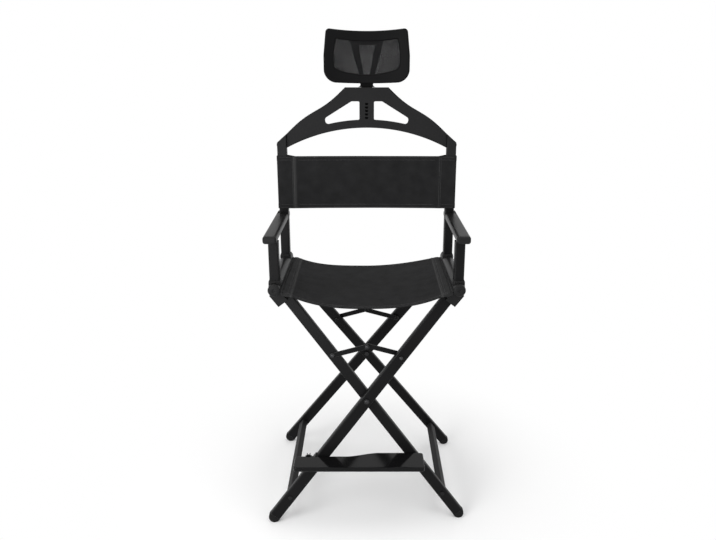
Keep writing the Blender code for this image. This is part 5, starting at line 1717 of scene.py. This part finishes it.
@dataclass(frozen=True)
class HangerPlate(SubAssembly):
    """Hanger plate with two round-cornered cut-outs and a row of notches, under its top edge."""

    top_half: float = 0.067
    shoulder_drop: float = 0.1403
    wave: float = 0.006
    arch_drop: float = 0.1212
    arch_rise: float = 0.0621
    bar_half: float = 0.0225
    hole_drop: float = 0.0416
    hole_half: float = 0.0470
    tip_half: float = 0.1300
    tip_drop: float = 0.0925
    foot_half: float = 0.1265
    band: float = 0.0245
    corners: tuple[float, ...] = (0.004, 0.009, 0.0105, 0.0095, 0.004)
    corner_points: int = 9
    edge_points: int = 33
    notch_count: int = 5
    notch_drop: float = 0.0465
    notch_pitch: float = 0.0105
    notch_width: float = 0.0108
    notch_base: float = 0.0072
    notch_height: float = 0.0062
    edge: float = 0.0012
    edge_angle: float = math.radians(60.0)

    def arch(self, x: Array, end: float) -> Array:
        """Lower edge: a circle through the crown of the arch and its two ends."""
        radius = (end ** 2 + self.arch_rise ** 2) / (2.0 * self.arch_rise)
        return np.sqrt(radius ** 2 - x ** 2) - radius - self.arch_drop

    def cut_out(self, end: float, middle: float) -> tuple[Array, int]:
        """Outline of the right cut-out: five corners, each an arc that touches its two sides.

        Args:
            end: Half width of the plate.
            middle: Height at which the outline starts on the middle bar.

        Returns:
            The outline from the bar over the top to the tip and back, and the number of its point
            at the tip.
        """
        reach = np.linspace(self.foot_half, self.bar_half, self.corner_points)
        base = np.stack((reach, self.arch(reach, end) + self.band), axis=1)
        points = np.array((
            (self.bar_half, -self.hole_drop), (self.hole_half, -self.hole_drop),
            (self.tip_half, -self.tip_drop), base[0], base[-1]))
        before, after = np.roll(points, 1, axis=0), np.roll(points, -1, axis=0)
        after[3], before[4] = base[1], base[-2]
        back, ahead = unit(before - points), unit(after - points)
        half = np.arccos(np.sum(back * ahead, axis=1, keepdims=True)) / 2.0
        radii = np.array(self.corners)[:, None]
        centres = points + unit(back + ahead) * radii / np.sin(half)
        start, stop = (points + way * radii / np.tan(half) - centres for way in (back, ahead))
        turn = (math.pi - 2.0 * half)[:, None]
        share = np.linspace(0.0, 1.0, self.corner_points)[None, :, None]
        arcs = centres[:, None] + (np.sin((1.0 - share) * turn) * start[:, None]
                                   + np.sin(share * turn) * stop[:, None]) / np.sin(turn)
        outline = ([(self.bar_half, middle)], arcs[:4].reshape(-1, 2), base[1:-1], arcs[4])
        return np.concatenate(outline), 3 * self.corner_points

    def faces(self, end: float) -> list[Array]:
        """Four flat faces that make up the plate: above and below the cut-out of each half.

        Args:
            end: Half width of the plate.

        Returns:
            Outlines in width and height, the height counted from the top edge.
        """
        tops = -self.notch_drop - self.notch_pitch * np.arange(self.notch_count)[::-1, None]
        sides = np.array((0.0, self.notch_base / 2, self.notch_width / 2, 0.0))
        levels = tops - self.notch_height * np.array((1.0, 1.0, 0.0, 0.0))
        notches = np.stack(np.broadcast_arrays(sides, levels), axis=-1).reshape(-1, 2)
        split = 4 * (self.notch_count // 2)
        middle = (notches[split - 1, 1] + notches[split, 1]) / 2.0
        outline, tip = self.cut_out(end, middle)
        far = np.linspace(self.top_half, end, self.edge_points)
        share = (far - self.top_half) / (end - self.top_half)
        drop = self.shoulder_drop * share + self.wave * np.sin(2.0 * math.pi * share)
        shoulder = np.stack((far, -drop), axis=1)
        reach = np.linspace(end, 0.0, self.edge_points)
        arch = np.stack((reach, self.arch(reach, end)), axis=1)
        centre = [(0.0, middle)]
        upper = np.concatenate((centre, notches[split:], [(0.0, 0.0)], shoulder, arch[:1],
                                outline[tip::-1]))
        lower = np.concatenate((arch, notches[:split], centre, outline[:1], outline[:tip - 1:-1]))
        return [face * (side, 1.0) for side in (1.0, -1.0) for face in (upper, lower)]

    def build(self) -> None:
        """Build the plate: flat faces front and back, walls where one ends, and eased edges."""
        low, high = (np.array(corner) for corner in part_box("hanger_plate"))
        outlines = self.faces((high[0] - low[0]) / 2.0)
        flat, numbers = np.unique(np.round(np.concatenate(outlines), 6), axis=0,
                                  return_inverse=True)
        ends = np.cumsum([len(outline) for outline in outlines])[:-1]
        loops = np.split(numbers.ravel(), ends)
        pairs = np.concatenate([np.stack((loop, np.roll(loop, -1)), axis=1) for loop in loops])
        border, uses = np.unique(np.sort(pairs, axis=1), axis=0, return_counts=True)
        border = border[uses == 1]
        count = len(flat)
        points = np.stack((np.tile(flat[:, 0] + (low[0] + high[0]) / 2.0, 2),
                           np.repeat((low[1], high[1]), count),
                           np.tile(flat[:, 1] + high[2], 2)), axis=1)
        shell = Shell().add(points, [
            *(loop[None] for loop in loops), *(loop[None, ::-1] + count for loop in loops),
            np.concatenate((border, border[:, ::-1] + count), axis=1)])
        plate = self.put(shell, "hanger_plate_eased", TEXTURED_PAINT, "head_bracket",
                         Slot.FITTINGS, "hanger_plate")
        bevel = plate.modifiers.new("eased_edges", "BEVEL")
        bevel.width = self.edge
        bevel.segments = 3
        bevel.limit_method = "ANGLE"
        bevel.angle_limit = self.edge_angle
        bevel.use_clamp_overlap = False
        bevel.harden_normals = True


@dataclass(frozen=True)
class HeadrestNeck(SubAssembly):
    """Moulded collar on the stem between the hanger and the headrest."""

    width: float = 0.0392
    flare: float = 0.0095
    flare_turn: float = 0.96
    thickness: float = 0.0088
    corner: float = 0.003
    clearance: float = 0.0003
    height: float = 0.0145

    def build(self) -> None:
        """Build the collar: a round-cornered section that widens on arcs towards both ends."""
        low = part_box("hanger_plate")[1][2] + self.clearance
        share = np.linspace(-1.0, 1.0, 17)
        flare = 1.0 - np.sqrt(1.0 - self.flare_turn * share ** 2)
        middle = AXES["headrest_tilt"]
        rings = []
        for width, level in zip(self.width + 2.0 * self.flare * flare,
                                low + self.height * (share + 1.0) / 2.0):
            ring = rounded_ring(width, self.thickness, self.corner) + middle[:2]
            rings.append(np.insert(ring, 2, level, axis=1))
        self.put(Shell().grid(np.array(rings), Closing.CAPPED), "headrest_neck_collar",
                 RIM_PLASTIC, "headrest_slider", Slot.FITTINGS)


@dataclass(frozen=True)
class SplitPin(SubAssembly):
    """Split pin through the footrest pin, with its two prongs upright."""

    spread: float = 0.0088
    radius: float = 0.0011
    height: float = 0.0125
    inset: float = 0.004
    eye: float = 0.00002

    def build(self) -> None:
        """Build the two prongs: round bars with domed tips, turned about upright axes."""
        low, high = (np.array(corner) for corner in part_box("footrest_pin"))
        middle = np.array(((low[0] + high[0]) / 2, high[1] - self.inset, (low[2] + high[2]) / 2))
        turn = np.linspace(0.0, math.pi / 2, 5)
        tip = np.stack((self.radius * np.cos(turn) + self.eye,
                        self.height + self.radius * np.sin(turn)), axis=1)
        profile = np.concatenate((((self.eye, 0.0), (self.radius, 0.0)), tip))
        shell = Shell()
        for way in (-self.spread / 2, self.spread / 2):
            prong = lathe(profile, middle + (way, 0.0, 0.0), count=16, upright=True)
            shell.grid(prong, Closing.CAPPED)
        self.put(shell, "footrest_split_pin", DARK_STEEL, "frame_b", Slot.HARDWARE)


@dataclass(frozen=True)
class Footrest(SubAssembly):
    """Glossy footrest plate with a round edge and a groove along its wall."""

    left: float = -0.216
    right: float = 0.17103
    front: float = -0.2856
    rear_right: float = -0.2025
    rear_left: float = -0.22241
    wave_left: float = -0.065
    wave_right: float = 0.040
    corner: float = 0.008
    base: float = 0.204
    thickness: float = 0.014
    edge: float = 0.0026
    rim: float = 0.0060
    groove: tuple[tuple[float, float], ...] = (
        (0.0, 0.0088), (0.0003, 0.0091), (0.0008, 0.0094), (0.0008, 0.0100), (0.0003, 0.0103),
        (0.0, 0.0106))
    steps: int = 480

    def outline(self) -> Array:
        """Outline from above: straight ends and front, and a rear edge that eases between depths.

        Returns:
            Points in two coordinates, anticlockwise, evenly spaced.
        """
        turn = np.linspace(0.0, math.pi / 2, 12)
        arc = np.stack((np.cos(turn), np.sin(turn)), axis=1) * self.corner
        left, right = self.left + self.corner, self.right - self.corner
        front_left = (left, self.front + self.corner) - arc
        front_right = (right, self.front + self.corner) + arc[::-1] * (1.0, -1.0)
        rear_right = (right, self.rear_right - self.corner) + arc
        rear_left = (left, self.rear_left - self.corner) + arc[::-1] * (-1.0, 1.0)
        share = np.linspace(0.0, 1.0, 40)
        ease = share * share * (3.0 - 2.0 * share)
        wave = np.stack((self.wave_right + (self.wave_left - self.wave_right) * share,
                         self.rear_right + (self.rear_left - self.rear_right) * ease), axis=1)
        closed = np.concatenate((front_left, front_right, rear_right, wave, rear_left,
                                 front_left[:1]))
        reach = line_reach(closed)
        even = np.linspace(0.0, reach[-1], self.steps + 1)[:-1]
        return np.stack([np.interp(even, reach, part) for part in closed.T], axis=1)

    def build(self) -> None:
        """Build the plate: its outline drawn in by an edge profile, filled above and below."""
        flat = self.outline()
        first, last = rounding(self.edge, count=7)
        profile = np.concatenate((
            ((self.rim, 0.0),), np.stack((last, first), axis=1), self.groove,
            np.stack((first, self.thickness - last), axis=1), ((self.rim, self.thickness),)))
        plan = flat[None] - loop_normals(flat)[None] * profile[:, :1, None]
        level = np.broadcast_to(self.base + profile[:, 1:], plan.shape[:2])
        grid = np.concatenate((plan, level[..., None]), axis=-1) + MIDDLE
        self.put(Shell().grid(grid, Closing.CAPPED), "footrest_plate_smooth", GLOSSY,
                 "footrest", Slot.GLOSS, "footrest_plate")


# ---------------------------------------------------------------- kept nodes and studio


@dataclass(frozen=True)
class KeptNodes:
    """CAD nodes that keep their shape and get a finish."""

    wardrobe: Wardrobe
    finishes: tuple[tuple[str, HardFinish], ...] = (
        ("footrest_bracket", SATIN_PAINT), ("footrest_pin", DARK_STEEL), ("footrest_peg", RUBBER),
        ("seat_tube", TUBE_PAINT), ("end_block", MOULDED), ("hanger_", TEXTURED_PAINT),
        ("lower_rail", TEXTURED_PAINT), ("stem_guide", RIM_PLASTIC),
        ("headrest_fork", RIM_PLASTIC), ("pivot_rivet", DARK_STEEL), ("canvas_rod", DARK_STEEL),
        ("tilt_pin", DARK_STEEL))

    def dress(self) -> None:
        """Give each node the first finish that its name starts with, else the frame paint."""
        for name, node in frame["nodes"].items():
            finish = next((look for start, look in self.finishes if name.startswith(start)),
                          SATIN_PAINT)
            material = self.wardrobe.get(finish)
            for slot in node.material_slots:
                slot.material = material
            LOG.info("node %s: %s", name, finish.name)


@dataclass(frozen=True)
class Lamp:
    """Soft square lamp that looks at a point."""

    name: str
    place: tuple[float, float, float]
    aim: tuple[float, float, float]
    size: float
    power: float

    def build(self) -> None:
        """Hang the lamp, turned so that its face looks along the way to its aim."""
        data = bpy.data.lights.new(self.name, "AREA")
        data.energy = self.power
        data.size = self.size
        lamp = bpy.data.objects.new(self.name, data)
        bpy.context.scene.collection.objects.link(lamp)
        lamp.location = self.place
        x, y, z = np.array(self.aim) - np.array(self.place)
        lamp.rotation_euler = (math.atan2(math.hypot(x, y), -z), 0.0, math.atan2(-x, y))


@dataclass(frozen=True)
class Studio:
    """White studio: floor, backdrop world, soft lamps and the camera."""

    focal: float = 686.6
    image_width: float = 716.0
    axis_pixel: float = 366.7
    sensor_width: float = 36.0
    camera_y: float = -2.0427
    camera_z: float = 1.3633
    pitch: float = 17.01
    ambient: float = 0.72
    floor_colour: float = 0.97
    floor_roughness: float = 0.85
    floor_specular: float = 0.1
    floor_reach: float = 14.0
    floor_level: float = -0.0002
    shadow_full: float = 0.28
    shadow_end: float = 0.85
    lamps: tuple[Lamp, ...] = (
        Lamp("lamp_above", (0.0, -0.3, 3.4), (0.0, 0.0, 0.6), size=2.6, power=18.0),
        Lamp("lamp_left", (-2.4, -2.2, 2.2), (0.0, 0.0, 0.8), size=1.8, power=42.0),
        Lamp("lamp_right", (2.6, -1.8, 1.9), (0.0, 0.0, 0.8), size=1.8, power=10.0),
        Lamp("lamp_low", (-1.0, -2.1, 0.55), (-0.2, 0.0, 0.75), size=0.9, power=16.0))

    def build(self) -> None:
        """Build all of it."""
        bpy.context.scene.view_settings.view_transform = "Standard"
        self.world()
        self.floor()
        for lamp in self.lamps:
            lamp.build()
        self.camera()

    @staticmethod
    def seen_directly(graph: Graph) -> bpy.types.NodeSocket:
        """Share that is 1 for rays from the camera, off gloss or through glass."""
        path = graph.node("ShaderNodeLightPath").outputs
        direct = graph.math("MAXIMUM", path["Is Camera Ray"], path["Is Glossy Ray"])
        return graph.math("MAXIMUM", direct, path["Is Transmission Ray"])

    def world(self) -> None:
        """World that is white where it is seen and a plain soft light elsewhere."""
        world = bpy.data.worlds.new("studio_white")
        world.use_nodes = True
        bpy.context.scene.world = world
        world.node_tree.nodes.clear()
        graph = Graph(world.node_tree)
        soft, white = (graph.node("ShaderNodeBackground", {"Color": WHITE, "Strength": strength})
                       for strength in (self.ambient, 1.0))
        mix = graph.node("ShaderNodeMixShader", {
            0: self.seen_directly(graph), 1: soft.outputs[0], 2: white.outputs[0]})
        graph.node("ShaderNodeOutputWorld", {"Surface": mix.outputs[0]})

    def floor(self) -> None:
        """Pale floor that keeps the shadow near the chair and turns to plain white further out."""
        material = bpy.data.materials.new("pale_floor")
        material.use_nodes = True
        nodes = material.node_tree.nodes
        graph = Graph(material.node_tree)
        pale = graph.fill(nodes["Principled BSDF"], {
            "Base Color": grey(self.floor_colour), "Roughness": self.floor_roughness,
            "Specular IOR Level": self.floor_specular})
        white = graph.node("ShaderNodeEmission", {"Color": WHITE})
        place = graph.node("ShaderNodeTexCoord").outputs["Object"]
        length = graph.node("ShaderNodeVectorMath", {0: place}, operation="LENGTH")
        fade = graph.node("ShaderNodeMapRange", {
            "Value": length.outputs["Value"], "From Min": self.shadow_full,
            "From Max": self.shadow_end}, interpolation_type="SMOOTHSTEP")
        share = graph.math("MULTIPLY", fade.outputs["Result"], self.seen_directly(graph))
        mix = graph.node("ShaderNodeMixShader", {
            0: share, 1: pale.outputs[0], 2: white.outputs[0]})
        graph.fill(nodes["Material Output"], {"Surface": mix.outputs[0]})
        reach = np.linspace(-self.floor_reach, self.floor_reach, 3)
        y, x = np.meshgrid(reach, reach, indexing="ij")
        points = np.stack((x, y, np.full_like(x, self.floor_level)), axis=-1)
        Shell().grid(points, Closing.OPEN).build("studio_floor", material)

    def camera(self) -> None:
        """Camera at the photograph's place and angle."""
        data = bpy.data.cameras.new("photo_camera")
        data.sensor_fit = "HORIZONTAL"
        data.sensor_width = self.sensor_width
        data.lens = self.focal / self.image_width * self.sensor_width
        data.shift_x = (self.image_width / 2 - self.axis_pixel) / self.image_width
        item = bpy.data.objects.new("photo_camera", data)
        bpy.context.scene.collection.objects.link(item)
        item.location = (MIDDLE[0], MIDDLE[1] + self.camera_y, self.camera_z)
        item.rotation_euler = (math.radians(90.0 - self.pitch), 0.0, 0.0)
        bpy.context.scene.camera = item


def main() -> None:
    """Build the studio and every piece of the chair."""
    logging.basicConfig(level=logging.INFO, format="%(name)s %(message)s")
    wardrobe = Wardrobe()
    Studio().build()
    KeptNodes(wardrobe).dress()
    SeatCanvas(wardrobe).build()
    BackCanvas(wardrobe).build()
    Headrest(wardrobe).build()
    for side in Side:
        SideFrame(wardrobe, side).build()
    Fasteners(wardrobe).build()
    for end in End:
        for legs in LegFrame:
            Foot(wardrobe, legs, end).build()
    HangerPlate(wardrobe).build()
    HeadrestNeck(wardrobe).build()
    SplitPin(wardrobe).build()
    Footrest(wardrobe).build()


if __name__ == "__main__":
    main()
